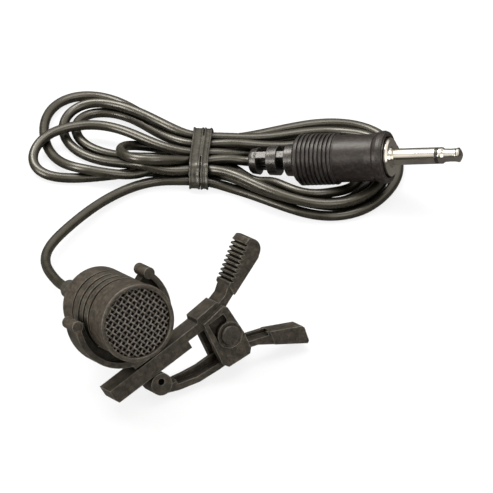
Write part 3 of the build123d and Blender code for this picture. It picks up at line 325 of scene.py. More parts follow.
CAD_PIECES = (
    (BARREL, ("capsule_housing", "front_bezel", "rear_cap", "grille_retainer")),
    (CLIP, ("holder_ring", "swivel_stud", "upper_lever", "lower_lever")),
    (BOOT, ("cable_boot",)),
    (TIE, ("cable_tie",)),
    (RELIEF, ("plug_strain_relief",)),
    (COVER, ("plug_cover",)),
    (INSULATOR, ("plug_insulator",)),
    (GASKET, ("element_gasket",)),
    (BOARD, ("element_board",)),
    (LEAD, ("mic_lead_wires", "plug_lead_wires")),
    (CHROME, ("plug_sleeve", "plug_tip")),
    (COLLAR, ("plug_collar",)),
    (PIN, ("pivot_pin", "pin_retainer")),
    (STEEL, ("torsion_spring",)),
    (CAN, ("electret_element",)),
    (BRASS, ("cable_crimp", "plug_tip_lug", "plug_sleeve_lug")),
    (FOAM, ("foam_disc",)),
    (WIRE, ("grille_mesh",)),
    (CABLE, ("cable_jacket",)),
)


def paint(piece, material):
    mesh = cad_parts[piece].data
    mesh.materials.clear()
    mesh.materials.append(material)
    for face in mesh.polygons:
        face.material_index = 0


for material, pieces in CAD_PIECES:
    for piece in pieces:
        paint(piece, material)


# ------------------------------------------------------------------ mesh helpers
def link_object(name, data):
    obj = bpy.data.objects.new(name, data)
    bpy.context.scene.collection.objects.link(obj)
    return obj


def mesh_object(name, bm, material):
    mesh = bpy.data.meshes.new(name)
    bm.to_mesh(mesh)
    bm.free()
    obj = link_object(name, mesh)
    mesh.materials.append(material)
    return obj


def join(parts):
    """Join parts into the first of them."""
    bpy.ops.object.select_all(action="DESELECT")
    for part in parts:
        part.select_set(True)
    bpy.context.view_layer.objects.active = parts[0]
    bpy.ops.object.join()
    return parts[0]


def stand_in(obj, piece):
    """Put obj in the place of a CAD piece."""
    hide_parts(piece)
    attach(obj, ROOT)


def tube(name, points, radius, sides, material, uv_name=None):
    """Smooth capped tube through points, untwisted along the run; all in metres.

    The UV map, if named, holds (turn round the tube, distance along it).
    """
    bm = bmesh.new()
    uv_layer = bm.loops.layers.uv.new(uv_name) if uv_name else None
    previous = (points[1] - points[0]).normalized()
    side = previous.orthogonal().normalized()
    rings = []
    distances = []
    run = 0.0
    for i, point in enumerate(points):
        before = points[max(i - 1, 0)]
        after = points[min(i + 1, len(points) - 1)]
        tangent = (after - before).normalized()
        side = previous.rotation_difference(tangent) @ side
        side = (side - tangent * side.dot(tangent)).normalized()
        previous = tangent
        other = tangent.cross(side)
        ring = []
        for k in range(sides):
            turn = 2 * math.pi * k / sides
            spoke = side * math.cos(turn) + other * math.sin(turn)
            ring.append(bm.verts.new(point + spoke * radius))
        rings.append(ring)
        if i:
            run += (point - before).length
        distances.append(run)
    for i in range(len(rings) - 1):
        near, far = rings[i], rings[i + 1]
        for k in range(sides):
            k2 = (k + 1) % sides
            face = bm.faces.new((near[k], near[k2], far[k2], far[k]))
            face.smooth = True
            if uv_layer:
                turns = (k / sides, (k + 1) / sides, (k + 1) / sides, k / sides)
                lengths = (distances[i], distances[i], distances[i + 1], distances[i + 1])
                for loop, u, v in zip(face.loops, turns, lengths):
                    loop[uv_layer].uv = (u, v)
    bm.faces.new(list(reversed(rings[0])))
    bm.faces.new(rings[-1])
    bm.normal_update()
    return mesh_object(name, bm, material)


# ------------------------------------------------------------------------- cable
CABLE_RADIUS = 1.05
CABLE_SIDES = 18
CABLE_STEP = 0.5

# Centre line from the microphone to the plug: x, y, z, then the unit direction of the run.
CABLE_STATIONS = [
    (-27.922, -35.262, 15.662, -0.4356, 0.7978, -0.4168),
    (-31.833, -28.099, 11.919, -0.4356, 0.7978, -0.4168),
    (-35.745, -20.936, 8.176, -0.4356, 0.7979, -0.4167),
    (-38.653, -15.235, 5.735, -0.3876, 0.8898, -0.2409),
    (-40.887, -8.655, 4.070, -0.1850, 0.9615, -0.2031),
    (-41.144, -4.819, 3.382, 0.0678, 0.9868, -0.1468),
    (-40.400, -1.185, 2.932, 0.3195, 0.9427, -0.0961),
    (-37.290, 4.931, 2.441, 0.5298, 0.8462, -0.0577),
    (-32.157, 12.274, 1.923, 0.6204, 0.7820, -0.0601),
    (-26.121, 18.521, 1.428, 0.7765, 0.6285, -0.0456),
    (-21.811, 21.256, 1.286, 0.9119, 0.4103, -0.0044),
    (-18.650, 22.229, 1.340, 0.9857, 0.1642, 0.0375),
    (-14.855, 22.311, 1.558, 0.9930, -0.0947, 0.0707),
    (-8.012, 21.674, 1.739, 0.9933, -0.0799, -0.0836),
    (-4.502, 20.939, 1.277, 0.9409, -0.3169, -0.1192),
    (1.872, 18.013, 1.081, 0.8789, -0.4769, 0.0011),
    (9.702, 13.621, 1.080, 0.8856, -0.4645, -0.0000),
    (15.253, 11.428, 1.080, 0.9744, -0.2246, 0.0000),
    (18.744, 11.075, 1.080, 0.9994, 0.0344, 0.0000),
    (21.923, 11.605, 1.080, 0.9567, 0.2910, 0.0002),
    (24.954, 12.977, 1.080, 0.8495, 0.5276, -0.0000),
    (27.789, 15.336, 1.083, 0.6845, 0.7290, 0.0015),
    (30.946, 19.774, 1.086, 0.4736, 0.8807, -0.0013),
    (32.681, 24.249, 1.080, 0.2304, 0.9731, 0.0009),
    (33.116, 28.589, 1.095, -0.0285, 0.9996, 0.0049),
    (32.439, 32.908, 1.115, -0.2851, 0.9585, 0.0038),
    (30.972, 36.229, 1.126, -0.5226, 0.8526, 0.0023),
    (28.935, 38.753, 1.132, -0.7248, 0.6890, 0.0013),
    (26.342, 40.639, 1.135, -0.8779, 0.4789, 0.0004),
    (22.989, 41.920, 1.134, -0.9717, 0.2363, -0.0008),
    (18.467, 42.383, 1.126, -0.9997, -0.0223, -0.0030),
    (11.549, 41.222, 1.098, -0.9626, -0.2710, -0.0032),
    (3.051, 38.333, 1.183, -0.9408, -0.3374, 0.0315),
    (-4.988, 36.090, 1.667, -0.9867, -0.1484, 0.0665),
    (-9.877, 35.851, 1.825, -0.9953, 0.0963, -0.0114),
    (-11.943, 36.320, 1.770, -0.9360, 0.3500, -0.0377),
    (-14.288, 37.599, 1.644, -0.8139, 0.5785, -0.0537),
    (-19.094, 42.189, 1.303, -0.6740, 0.7376, -0.0404),
    (-25.166, 48.278, 1.118, -0.7761, 0.6306, -0.0057),
    (-29.121, 50.777, 1.112, -0.9125, 0.4092, 0.0017),
    (-32.251, 51.733, 1.120, -0.9871, 0.1603, 0.0028),
    (-34.862, 51.825, 1.127, -0.9951, -0.0992, 0.0023),
    (-37.047, 51.320, 1.131, -0.9361, -0.3519, 0.0012),
    (-38.905, 50.330, 1.133, -0.8140, -0.5809, -0.0001),
    (-40.515, 48.824, 1.131, -0.6371, -0.7708, -0.0017),
    (-41.865, 46.653, 1.124, -0.4173, -0.9088, -0.0035),
    (-42.821, 43.486, 1.109, -0.1690, -0.9856, -0.0054),
    (-42.972, 38.701, 1.085, 0.0907, -0.9959, -0.0057),
    (-41.794, 33.280, 1.186, 0.3294, -0.9416, 0.0691),
    (-39.782, 29.122, 1.780, 0.5349, -0.8260, 0.1779),
    (-37.332, 26.206, 2.584, 0.7238, -0.6542, 0.2192),
    (-34.964, 24.537, 3.151, 0.8754, -0.4634, 0.1379),
    (-32.742, 23.653, 3.300, 0.9625, -0.2707, -0.0146),
    (-29.566, 23.164, 3.009, 0.9883, -0.0474, -0.1447),
    (-23.902, 23.485, 2.232, 0.9891, 0.1422, -0.0379),
    (-20.908, 24.066, 2.517, 0.9503, 0.2356, 0.2038),
    (-17.026, 25.310, 3.256, 0.9327, 0.3581, 0.0422),
    (-14.745, 26.211, 3.028, 0.9098, 0.3538, -0.2171),
    (-11.679, 27.158, 2.140, 0.9607, 0.1846, -0.2073),
    (-9.179, 27.373, 1.856, 0.9985, -0.0147, -0.0527),
    (-6.739, 27.054, 1.757, 0.9633, -0.2678, -0.0203),
    (-5.050, 26.337, 1.782, 0.8645, -0.4999, 0.0512),
    (-1.164, 23.270, 2.333, 0.7424, -0.6629, 0.0974),
    (1.732, 20.769, 2.271, 0.7819, -0.6056, -0.1480),
    (4.312, 19.196, 1.612, 0.8873, -0.3978, -0.2334),
    (7.871, 17.991, 1.099, 0.9613, -0.2740, -0.0296),
    (15.879, 15.794, 1.082, 0.9828, -0.1845, -0.0017),
    (18.999, 15.567, 1.081, 0.9972, 0.0745, -0.0000),
    (20.907, 15.957, 1.080, 0.9441, 0.3295, 0.0009),
    (22.691, 16.861, 1.104, 0.8282, 0.5597, 0.0283),
    (24.618, 18.592, 1.224, 0.6569, 0.7522, 0.0520),
    (26.578, 21.527, 1.325, 0.4465, 0.8948, 0.0018),
    (27.625, 24.496, 1.270, 0.2034, 0.9786, -0.0328),
    (27.826, 27.022, 1.177, -0.0552, 0.9978, -0.0356),
    (27.446, 29.090, 1.110, -0.3099, 0.9504, -0.0277),
    (26.668, 30.735, 1.076, -0.5417, 0.8406, -0.0009),
    (25.695, 31.914, 1.137, -0.7226, 0.6847, 0.0944),
    (24.599, 32.734, 1.355, -0.8442, 0.4903, 0.2165),
    (23.133, 33.349, 1.794, -0.9187, 0.2578, 0.2992),
    (20.949, 33.632, 2.492, -0.9592, 0.0049, 0.2828),
    (17.326, 33.248, 3.229, -0.9793, -0.1739, 0.1038),
    (9.406, 31.760, 3.386, -0.9863, -0.1588, 0.0450),
    (1.051, 31.030, 4.388, -0.9940, 0.0195, 0.1076),
    (-4.479, 31.382, 4.254, -0.9877, 0.0766, -0.1362),
    (-10.257, 31.724, 3.812, -0.9872, 0.1588, -0.0161),
    (-12.746, 32.450, 3.727, -0.9127, 0.4038, -0.0627),
    (-15.405, 34.085, 3.389, -0.7786, 0.6105, -0.1452),
    (-20.256, 39.088, 2.395, -0.6512, 0.7494, -0.1199),
    (-25.151, 43.908, 1.627, -0.8015, 0.5892, -0.1023),
    (-27.892, 45.455, 1.325, -0.9279, 0.3629, -0.0856),
    (-30.015, 45.995, 1.166, -0.9920, 0.1139, -0.0542),
    (-31.734, 45.979, 1.101, -0.9896, -0.1423, -0.0226),
    (-33.090, 45.605, 1.083, -0.9205, -0.3906, -0.0050),
    (-34.201, 44.955, 1.083, -0.7904, -0.6126, 0.0040),
    (-35.085, 44.067, 1.090, -0.6080, -0.7939, 0.0071),
    (-35.723, 42.959, 1.099, -0.3844, -0.9231, 0.0067),
    (-36.107, 41.519, 1.108, -0.1358, -0.9907, 0.0051),
    (-36.113, 39.703, 1.116, 0.1224, -0.9925, 0.0034),
    (-35.592, 37.701, 1.121, 0.3731, -0.9278, 0.0010),
    (-34.471, 35.717, 1.120, 0.5991, -0.8007, -0.0017),
    (-32.683, 33.895, 1.112, 0.7851, -0.6194, -0.0042),
    (-29.898, 32.262, 1.096, 0.9182, -0.3962, -0.0057),
    (-24.890, 30.913, 1.090, 0.9890, -0.1472, 0.0114),
    (-16.057, 30.310, 1.536, 0.9969, -0.0335, 0.0713),
    (-8.395, 30.130, 1.791, 0.9958, -0.0756, -0.0509),
    (-6.253, 29.730, 1.594, 0.9395, -0.3189, -0.1254),
    (-4.426, 28.804, 1.314, 0.8250, -0.5507, -0.1269),
    (-1.251, 26.026, 1.082, 0.6864, -0.7272, -0.0005),
    (1.894, 23.029, 1.111, 0.8072, -0.5852, 0.0772),
    (3.425, 22.076, 1.463, 0.8356, -0.4565, 0.3054),
    (5.916, 20.540, 2.584, 0.7423, -0.5908, 0.3160),
    (8.796, 18.001, 3.362, 0.7661, -0.6350, 0.0993),
    (11.573, 16.156, 3.552, 0.9021, -0.4307, 0.0264),
    (13.582, 15.488, 3.578, 0.9826, -0.1857, -0.0024),
    (15.383, 15.381, 3.544, 0.9967, 0.0709, -0.0391),
    (17.224, 15.752, 3.404, 0.9431, 0.3110, -0.1175),
    (19.248, 16.707, 2.992, 0.8268, 0.5096, -0.2381),
    (21.894, 18.862, 2.029, 0.6680, 0.6980, -0.2582),
    (23.824, 21.406, 1.410, 0.5062, 0.8531, -0.1264),
    (25.049, 24.167, 1.148, 0.2829, 0.9579, -0.0487),
    (25.401, 26.231, 1.089, 0.0309, 0.9994, -0.0122),
    (25.258, 27.738, 1.080, -0.2264, 0.9740, -0.0017),
    (24.792, 28.993, 1.080, -0.4676, 0.8839, 0.0008),
    (24.062, 30.024, 1.081, -0.6784, 0.7347, 0.0006),
    (22.962, 30.931, 1.081, -0.8444, 0.5357, -0.0004),
    (20.920, 31.849, 1.080, -0.9534, 0.3017, -0.0002),
    (15.615, 32.681, 1.080, -0.9989, 0.0467, -0.0008),
    (7.171, 32.001, 1.349, -0.9775, -0.1920, 0.0872),
    (-1.311, 29.754, 2.733, -0.9403, -0.2412, 0.2401),
    (-6.514, 28.872, 3.763, -0.9940, -0.0815, 0.0732),
    (-11.887, 28.962, 3.857, -0.9892, 0.1447, 0.0236),
    (-15.919, 30.154, 4.000, -0.9179, 0.3952, 0.0353),
    (-22.632, 34.154, 4.101, -0.8190, 0.5736, -0.0162),
    (-28.219, 37.456, 3.892, -0.9254, 0.3773, -0.0348),
    (-31.579, 38.355, 3.794, -0.9918, 0.1260, -0.0199),
    (-34.972, 38.333, 3.746, -0.9909, -0.1339, -0.0109),
    (-38.625, 37.342, 3.676, -0.9230, -0.3832, -0.0337),
    (-41.491, 35.726, 3.465, -0.7955, -0.5964, -0.1067),
    (-43.318, 33.981, 3.074, -0.6168, -0.7624, -0.1956),
    (-44.446, 32.158, 2.589, -0.3945, -0.8880, -0.2364),
    (-44.943, 30.487, 2.161, -0.1465, -0.9613, -0.2331),
    (-44.976, 28.995, 1.822, 0.1097, -0.9724, -0.2059),
    (-44.659, 27.706, 1.568, 0.3590, -0.9183, -0.1672),
    (-44.029, 26.562, 1.376, 0.5852, -0.8017, -0.1222),
    (-43.039, 25.521, 1.233, 0.7725, -0.6303, -0.0777),
    (-41.592, 24.633, 1.137, 0.9095, -0.4141, -0.0376),
    (-39.183, 23.921, 1.086, 0.9857, -0.1686, -0.0075),
    (-33.991, 23.825, 1.080, 0.9959, 0.0906, 0.0003),
    (-25.131, 25.209, 1.080, 0.9857, 0.1684, -0.0003),
    (-19.006, 25.721, 1.078, 0.9977, -0.0671, -0.0026),
    (-13.068, 24.828, 1.387, 0.9777, -0.1342, 0.1612),
    (-8.646, 24.536, 1.843, 0.9933, -0.1040, 0.0506),
    (-6.652, 24.075, 2.035, 0.9287, -0.3433, 0.1402),
    (-3.931, 22.598, 2.616, 0.8037, -0.5596, 0.2024),
    (1.473, 18.466, 3.367, 0.8227, -0.5684, 0.0116),
    (8.824, 14.562, 3.328, 0.9357, -0.3509, -0.0358),
    (14.459, 13.133, 2.763, 0.9823, -0.1207, -0.1434),
    (18.983, 13.144, 2.090, 0.9805, 0.1385, -0.1392),
    (22.051, 13.978, 1.689, 0.9149, 0.3886, -0.1095),
    (24.552, 15.456, 1.393, 0.7844, 0.6132, -0.0935),
    (27.083, 18.060, 1.131, 0.6053, 0.7947, -0.0449),
    (29.527, 22.216, 1.153, 0.4165, 0.9055, 0.0815),
    (30.600, 24.990, 1.696, 0.2737, 0.9148, 0.2972),
    (30.946, 26.658, 2.403, 0.0804, 0.8811, 0.4661),
    (30.891, 28.010, 3.223, -0.1559, 0.8221, 0.5475),
    (30.468, 29.219, 4.031, -0.4010, 0.7709, 0.4948),
    (29.706, 30.334, 4.667, -0.6044, 0.7183, 0.3446),
    (28.535, 31.520, 5.079, -0.7393, 0.6602, 0.1324),
    (26.679, 32.994, 5.087, -0.8082, 0.5796, -0.1045),
    (22.379, 35.507, 4.085, -0.8922, 0.3976, -0.2144),
    (18.730, 36.644, 3.433, -0.9783, 0.1735, -0.1133),
    (14.767, 36.821, 3.165, -0.9967, -0.0736, -0.0339),
    (6.769, 35.349, 3.088, -0.9776, -0.2090, 0.0248),
    (-2.109, 34.266, 3.607, -0.9983, -0.0100, 0.0582),
    (-9.956, 34.447, 3.878, -0.9956, 0.0801, 0.0484),
    (-12.534, 34.970, 4.136, -0.9381, 0.3204, 0.1318),
    (-15.498, 36.469, 4.515, -0.8336, 0.5473, 0.0740),
    (-21.228, 41.087, 4.376, -0.7559, 0.6499, -0.0791),
    (-27.187, 45.397, 3.656, -0.8792, 0.4648, -0.1050),
    (-30.838, 46.794, 3.224, -0.9672, 0.2219, -0.1236),
    (-33.233, 47.051, 2.856, -0.9823, -0.0294, -0.1850),
    (-34.950, 46.783, 2.484, -0.9331, -0.2797, -0.2261),
    (-36.257, 46.197, 2.147, -0.8271, -0.5155, -0.2240),
    (-37.313, 45.326, 1.850, -0.6685, -0.7172, -0.1966),
    (-38.131, 44.179, 1.597, -0.4655, -0.8714, -0.1550),
    (-38.693, 42.672, 1.386, -0.2302, -0.9674, -0.1056),
    (-38.904, 40.563, 1.215, 0.0219, -0.9981, -0.0579),
    (-38.486, 37.889, 1.113, 0.2758, -0.9610, -0.0211),
    (-37.264, 35.081, 1.080, 0.5136, -0.8580, -0.0029),
    (-35.147, 32.428, 1.104, 0.7164, -0.6974, 0.0222),
    (-31.004, 29.336, 1.517, 0.8407, -0.5200, 0.1512),
    (-23.974, 25.109, 3.834, 0.8041, -0.4850, 0.3439),
    (-21.509, 23.766, 4.590, 0.9032, -0.4131, 0.1166),
    (-19.753, 23.110, 4.601, 0.9579, -0.2716, -0.0931),
    (-17.363, 22.735, 4.188, 0.9790, -0.0436, -0.1991),
    (-12.886, 22.953, 3.757, 0.9965, 0.0838, 0.0067),
    (-8.147, 23.104, 3.878, 0.9899, -0.1213, 0.0728),
    (-6.586, 22.720, 4.088, 0.9190, -0.3484, 0.1845),
    (-3.766, 21.110, 4.819, 0.8007, -0.5627, 0.2057),
    (2.003, 16.801, 5.398, 0.8166, -0.5767, -0.0228),
    (8.699, 12.958, 4.984, 0.9217, -0.3770, -0.0914),
    (13.748, 11.610, 4.394, 0.9853, -0.1276, -0.1132),
    (18.193, 11.590, 3.972, 0.9887, 0.1296, -0.0753),
    (21.611, 12.487, 3.736, 0.9227, 0.3806, -0.0609),
    (24.398, 14.088, 3.534, 0.7928, 0.6059, -0.0665),
    (26.832, 16.515, 3.315, 0.6112, 0.7898, -0.0512),
    (28.300, 18.984, 3.249, 0.3939, 0.9191, 0.0097),
    (29.035, 21.595, 3.332, 0.1457, 0.9885, 0.0410),
    (29.063, 25.285, 3.395, -0.1044, 0.9943, -0.0211),
    (27.858, 30.740, 3.054, -0.3453, 0.9347, -0.0844),
    (26.648, 33.096, 2.782, -0.5714, 0.8113, -0.1237),
    (25.108, 34.770, 2.448, -0.7561, 0.6332, -0.1653),
    (22.698, 36.267, 1.932, -0.8925, 0.4130, -0.1813),
    (18.849, 37.463, 1.304, -0.9775, 0.1802, -0.1100),
    (14.027, 37.752, 1.080, -0.9985, -0.0544, -0.0039),
    (6.051, 36.258, 1.080, -0.9625, -0.2712, 0.0013),
    (-2.565, 33.781, 1.437, -0.9721, -0.2192, 0.0834),
    (-9.378, 32.989, 1.810, -0.9997, 0.0035, -0.0253),
    (-15.641, 33.573, 1.147, -0.9866, 0.1479, -0.0687),
    (-20.448, 34.104, 1.298, -0.9908, 0.0107, 0.1350),
    (-22.555, 33.910, 1.714, -0.9432, -0.2138, 0.2544),
    (-23.898, 33.428, 2.161, -0.8352, -0.4332, 0.3387),
    (-24.898, 32.728, 2.641, -0.6749, -0.6287, 0.3864),
    (-25.610, 31.849, 3.131, -0.4705, -0.7859, 0.4013),
    (-26.089, 30.692, 3.679, -0.2332, -0.8875, 0.3974),
    (-26.264, 29.133, 4.353, 0.0218, -0.9210, 0.3890),
    (-25.967, 27.352, 5.090, 0.2770, -0.8909, 0.3599),
    (-25.172, 25.645, 5.761, 0.5137, -0.8010, 0.3074),
    (-24.032, 24.292, 6.278, 0.7163, -0.6515, 0.2499),
    (-22.765, 23.400, 6.625, 0.8710, -0.4566, 0.1814),
    (-21.450, 22.907, 6.824, 0.9679, -0.2333, 0.0935),
    (-20.022, 22.735, 6.876, 0.9996, -0.0078, -0.0268),
    (-18.454, 22.897, 6.712, 0.9634, 0.2005, -0.1777),
    (-15.700, 23.836, 5.879, 0.8628, 0.3740, -0.3402),
    (-11.739, 25.546, 4.258, 0.9239, 0.2676, -0.2735),
    (-9.861, 25.882, 3.908, 0.9914, 0.0974, -0.0869),
    (-5.409, 26.453, 3.943, 0.9815, 0.1901, -0.0247),
    (-2.061, 27.079, 3.405, 0.9581, 0.1289, -0.2559),
    (-0.272, 27.160, 3.014, 0.9911, -0.0721, -0.1117),
    (0.777, 27.001, 3.010, 0.9696, -0.2180, 0.1108),
    (5.566, 25.690, 4.196, 0.9338, -0.2589, 0.2469),
    (13.951, 23.365, 6.414, 0.9338, -0.2589, 0.2469),
]


def cable_line():
    """Cubic Hermite curve through the stations, in metres."""
    line = []
    for start, end in zip(CABLE_STATIONS, CABLE_STATIONS[1:]):
        p0, d0 = Vector(start[:3]), Vector(start[3:])
        p1, d1 = Vector(end[:3]), Vector(end[3:])
        chord = (p1 - p0).length
        steps = max(2, int(round(chord / CABLE_STEP)))
        for k in range(steps):
            t = k / steps
            from_p0 = 2 * t ** 3 - 3 * t ** 2 + 1
            from_d0 = chord * (t ** 3 - 2 * t ** 2 + t)
            from_p1 = -2 * t ** 3 + 3 * t ** 2
            from_d1 = chord * (t ** 3 - t ** 2)
            line.append((p0 * from_p0 + d0 * from_d0 + p1 * from_p1 + d1 * from_d1) * MM)
    line.append(Vector(CABLE_STATIONS[-1][:3]) * MM)
    return line


jacket = tube("jacket_run", cable_line(), CABLE_RADIUS * MM, CABLE_SIDES, CABLE, uv_name="run")
stand_in(jacket, "cable_jacket")

# ------------------------------------------------------------------------ grille
WIRE_PITCH = 0.98
WIRE_RADIUS = 0.19
WIRE_SIDES = 8
WIRE_STEP = 0.12
WEAVE_HEIGHT = 0.17      # rise and fall of each wire about the cloth
GRILLE_RADIUS = 7.08
GRILLE_MARGIN = 0.25     # no wire runs this near the rim
GRILLE_DEPTH = 0.98      # rim of the cloth, behind the microphone origin
GRILLE_DOME = 0.35       # rise of the cloth at its centre
GRILLE_TURN = math.radians(22)
GRILLE_X = MIC_X * math.cos(GRILLE_TURN) + MIC_Y * math.sin(GRILLE_TURN)
GRILLE_Y = MIC_Z.cross(GRILLE_X)


def grille_point(x, y, lift):
    dome = GRILLE_DOME * (1 - (x * x + y * y) / (GRILLE_RADIUS * GRILLE_RADIUS))
    height = -GRILLE_DEPTH + dome + lift
    return (MIC_ORIGIN + GRILLE_X * x + GRILLE_Y * y + MIC_Z * height) * MM


def grille_wires(along_x):
    """One family of parallel wires, weaving over and under the other family."""
    wires = []
    for i in range(-8, 9):
        offset = (i + 0.5) * WIRE_PITCH
        if abs(offset) > GRILLE_RADIUS - GRILLE_MARGIN:
            continue
        half = math.sqrt(GRILLE_RADIUS * GRILLE_RADIUS - offset * offset)
        steps = max(8, int(2 * half / WIRE_STEP))
        side = 1 if (i % 2 == 0) == along_x else -1
        points = []
        for k in range(steps + 1):
            t = -half + 2 * half * k / steps
            # Crossings lie at (j + 0.5) * WIRE_PITCH, where the cosine peaks.
            lift = WEAVE_HEIGHT * math.cos(math.pi * (t / WIRE_PITCH - 0.5)) * side
            x, y = (t, offset) if along_x else (offset, t)
            points.append(grille_point(x, y, lift))
        wires.append(tube("w", points, WIRE_RADIUS * MM, WIRE_SIDES, WIRE))
    return wires


cloth = join(grille_wires(along_x=True) + grille_wires(along_x=False))
cloth.name = "grille_cloth"
stand_in(cloth, "grille_mesh")

# --------------------------------------------------------------------------- tie
TIE_ORIGIN = Vector((-9.1174, 28.3818, -0.02))
TIE_ACROSS = Vector((0.07, 0.99755, 0))
TIE_ALONG = Vector((0.99755, -0.07, 0))     # along the strands
# Centres of the loop's rounded corners: (across, up).
TIE_CORNERS = [(-6.6, 1.98), (7.4, 1.98), (6.0, 3.98), (-5.2, 3.98)]
CORNER_STEPS = 12
STRAIGHT_STEPS = 30
BAND_INNER = 1.54        # inner face, out from the corner centres
# Raised bead on each edge of a band: (in from the edge, out from the corner centres).
BAND_BEAD = [(0, 1.86), (0.06, 1.94), (0.16, 1.96), (0.30, 1.94), (0.42, 1.84), (0.5, 1.76)]
BAND_PHASE = 0.6         # shifts the wander round the loop


def tie_point(across, up, along):
    return (TIE_ORIGIN + TIE_ACROSS * across + UP * up + TIE_ALONG * along) * MM


def outward(start, end):
    """Unit normal of a side of the loop, pointing out of it."""
    length = math.hypot(end[0] - start[0], end[1] - start[1])
    return ((end[1] - start[1]) / length, -(end[0] - start[0]) / length)


def tie_path():
    """Round the strands: centre-line point and outward direction at every step."""
    path = []
    for i, corner in enumerate(TIE_CORNERS):
        following = TIE_CORNERS[(i + 1) % 4]
        normal_in = outward(TIE_CORNERS[i - 1], corner)
        normal_out = outward(corner, following)
        start = math.atan2(normal_in[1], normal_in[0])
        end = math.atan2(normal_out[1], normal_out[0])
        if end < start:
            end += 2 * math.pi
        for k in range(CORNER_STEPS + 1):
            turn = start + (end - start) * k / CORNER_STEPS
            path.append((corner, (math.cos(turn), math.sin(turn))))
        for k in range(1, STRAIGHT_STEPS):
            f = k / STRAIGHT_STEPS
            x = corner[0] + (following[0] - corner[0]) * f
            y = corner[1] + (following[1] - corner[1]) * f
            path.append(((x, y), normal_out))
    return path


def tie_band(name, start, end):
    """One turn of tie from start to end along the strands, wandering a little."""
    profile = [(start, BAND_INNER), (end, BAND_INNER)]
    profile += [(end - inset, reach) for inset, reach in BAND_BEAD]
    profile += [(start + inset, reach) for inset, reach in reversed(BAND_BEAD)]
    path = tie_path()
    bm = bmesh.new()
    rings = []
    for i, (centre, out) in enumerate(path):
        turn = 2 * math.pi * i / len(path)
        drift = (0.10 * math.sin(turn + BAND_PHASE)
                 + 0.04 * math.sin(5 * turn + 2 * BAND_PHASE))
        swell = 0.03 * math.sin(7 * turn + BAND_PHASE) - 0.03
        ring = []
        for along, reach in profile:
            if reach > BAND_INNER:
                reach += swell
            ring.append(bm.verts.new(tie_point(
                centre[0] + out[0] * reach, centre[1] + out[1] * reach, along + drift)))
        rings.append(ring)
    for i, near in enumerate(rings):
        far = rings[(i + 1) % len(rings)]
        for k in range(len(profile)):
            k2 = (k + 1) % len(profile)
            face = bm.faces.new((near[k], near[k2], far[k2], far[k]))
            face.smooth = True
    bmesh.ops.recalc_face_normals(bm, faces=bm.faces[:])
    return mesh_object(name, bm, TIE)


def tie_tuck():
    """Tucked end: a flat bar on top, across the gap between the two turns."""
    bm = bmesh.new()
    for across in (-3.1, 3.9):
        for up in (5.50, 5.90):
            for along in (0.02, 0.60):
                bm.verts.new(tie_point(across, up, along))
    bmesh.ops.convex_hull(bm, input=bm.verts[:])
    bmesh.ops.bevel(bm, geom=bm.edges[:], offset=0.08 * MM, segments=2, affect="EDGES")
    return mesh_object("tie_tuck", bm, TIE)


tie = join([
    tie_band("tie_band", start=-2.0, end=0.25),
    tie_band("tie_band_b", start=0.42, end=2.02),
    tie_tuck(),
])
stand_in(tie, "cable_tie")

# ------------------------------------------------------------------------- stage
FLOOR_HALF = 1.6         # metres
FLOOR_Z = -0.00002       # metres


def floor_material():
    """Pale floor: the eye sees mostly the white surround through it, reflections a dim glow."""
    material, tree, shader = new_material("floor")
    cloud = noise(tree, object_coords(tree), Scale=3.0)
    set_inputs(tree, shader, {
        "Base Color": ramp(tree, cloud, [(0.3, grey(0.93)), (0.7, grey(0.95))]),
        "Roughness": 0.9,
        "Specular IOR Level": 0.1,
    })
    ray = add_node(tree, "LightPath").outputs
    clear = add_node(tree, "BsdfTransparent").outputs[0]
    share = calculate(tree, "MULTIPLY", ray["Is Camera Ray"], 0.80)
    seen = add_node(tree, "MixShader", {0: share, 1: shader.outputs[0], 2: clear})
    dim = add_node(tree, "Emission", {"Color": (1.0, 0.95, 0.86), "Strength": 0.16})
    both = add_node(tree, "MixShader", {
        0: ray["Is Glossy Ray"], 1: seen.outputs[0], 2: dim.outputs[0]})
    set_inputs(tree, tree.nodes["Material Output"], {"Surface": both.outputs[0]})
    return material


def floor():
    bm = bmesh.new()
    corners = ((-1, -1), (1, -1), (1, 1), (-1, 1))
    bm.faces.new([bm.verts.new((x * FLOOR_HALF, y * FLOOR_HALF, FLOOR_Z)) for x, y in corners])
    mesh_object("floor", bm, floor_material())


def background(tree, colour, strength):
    return add_node(tree, "Background", {"Color": colour, "Strength": strength}).outputs[0]


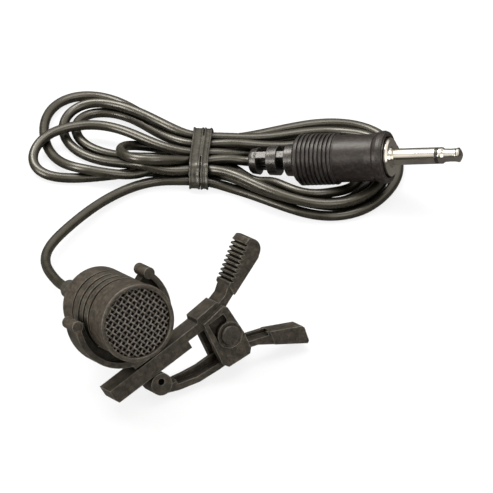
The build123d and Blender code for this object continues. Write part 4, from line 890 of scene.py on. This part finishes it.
def studio_world():
    """Soft light all round; reflections see a dark room with a pale ceiling, the eye white."""
    # The scene may already hold a world.
    world = bpy.data.worlds[0] if bpy.data.worlds else bpy.data.worlds.new("studio")
    bpy.context.scene.world = world
    world.use_nodes = True
    tree = world.node_tree
    tree.nodes.clear()
    output = add_node(tree, "OutputWorld")
    soft = background(tree, (1.0, 0.985, 0.96), strength=0.40)
    coords = add_node(tree, "TexCoord").outputs["Generated"]
    height = add_node(tree, "SeparateXYZ", {0: coords}).outputs["Z"]
    room_colour = ramp(tree, height, [
        (0.0, (0.05, 0.047, 0.04)), (0.22, (0.10, 0.095, 0.085)), (0.42, (0.75, 0.72, 0.66)),
        (0.62, (1.25, 1.2, 1.12)), (0.80, (1.1, 1.06, 1.0)), (1.0, (0.5, 0.48, 0.45))])
    room = background(tree, room_colour, strength=1.0)
    ray = add_node(tree, "LightPath").outputs
    lit = add_node(tree, "MixShader", {0: ray["Is Glossy Ray"], 1: soft, 2: room})
    plain = background(tree, grey(1), strength=1.02)
    seen = add_node(tree, "MixShader", {0: ray["Is Camera Ray"], 1: lit.outputs[0], 2: plain})
    set_inputs(tree, output, {0: seen.outputs[0]})


def area_light(name, place, target, size, power):
    """Square light at place, facing target; metres and watts."""
    light = bpy.data.lights.new(name, "AREA")
    light.energy = power
    light.size = size
    obj = link_object(name, light)
    obj.location = place
    aim = Vector(target) - Vector(place)
    obj.rotation_euler = aim.to_track_quat("-Z", "Y").to_euler()


floor()
studio_world()
area_light("key", place=(-0.30, 0.26, 0.60), target=(0, 0, 0), size=0.36, power=4.0)
area_light("top", place=(0.12, 0.10, 0.75), target=(0, 0, 0), size=0.45, power=2.6)
area_light("front", place=(0.26, -0.55, 0.34), target=(0, -0.03, 0.01), size=0.40, power=1.0)
area_light("left", place=(-0.62, -0.30, 0.20), target=(-0.02, -0.04, 0.01), size=0.30, power=2.6)

# ------------------------------------------------------------------------ camera
CAMERA_PITCH = 40.0      # degrees it looks down
CAMERA_DISTANCE = 1000.0
CAMERA_TARGET = Vector((0.5946, 2.3306, -0.0200))


def camera():
    """Long lens, looking from the front and above."""
    data = bpy.data.cameras.new("camera")
    data.sensor_fit = "HORIZONTAL"
    data.sensor_width = 36.0
    data.lens = 348.31643
    data.clip_start = 0.05       # metres
    data.clip_end = 20.0
    obj = link_object("camera", data)
    pitch = math.radians(CAMERA_PITCH)
    back = Vector((0, -math.cos(pitch), math.sin(pitch))) * CAMERA_DISTANCE
    obj.location = (back + CAMERA_TARGET) * MM
    obj.rotation_euler = (math.radians(90 - CAMERA_PITCH), 0, 0)
    bpy.context.scene.camera = obj


camera()
bpy.context.scene.view_settings.view_transform = "Standard"
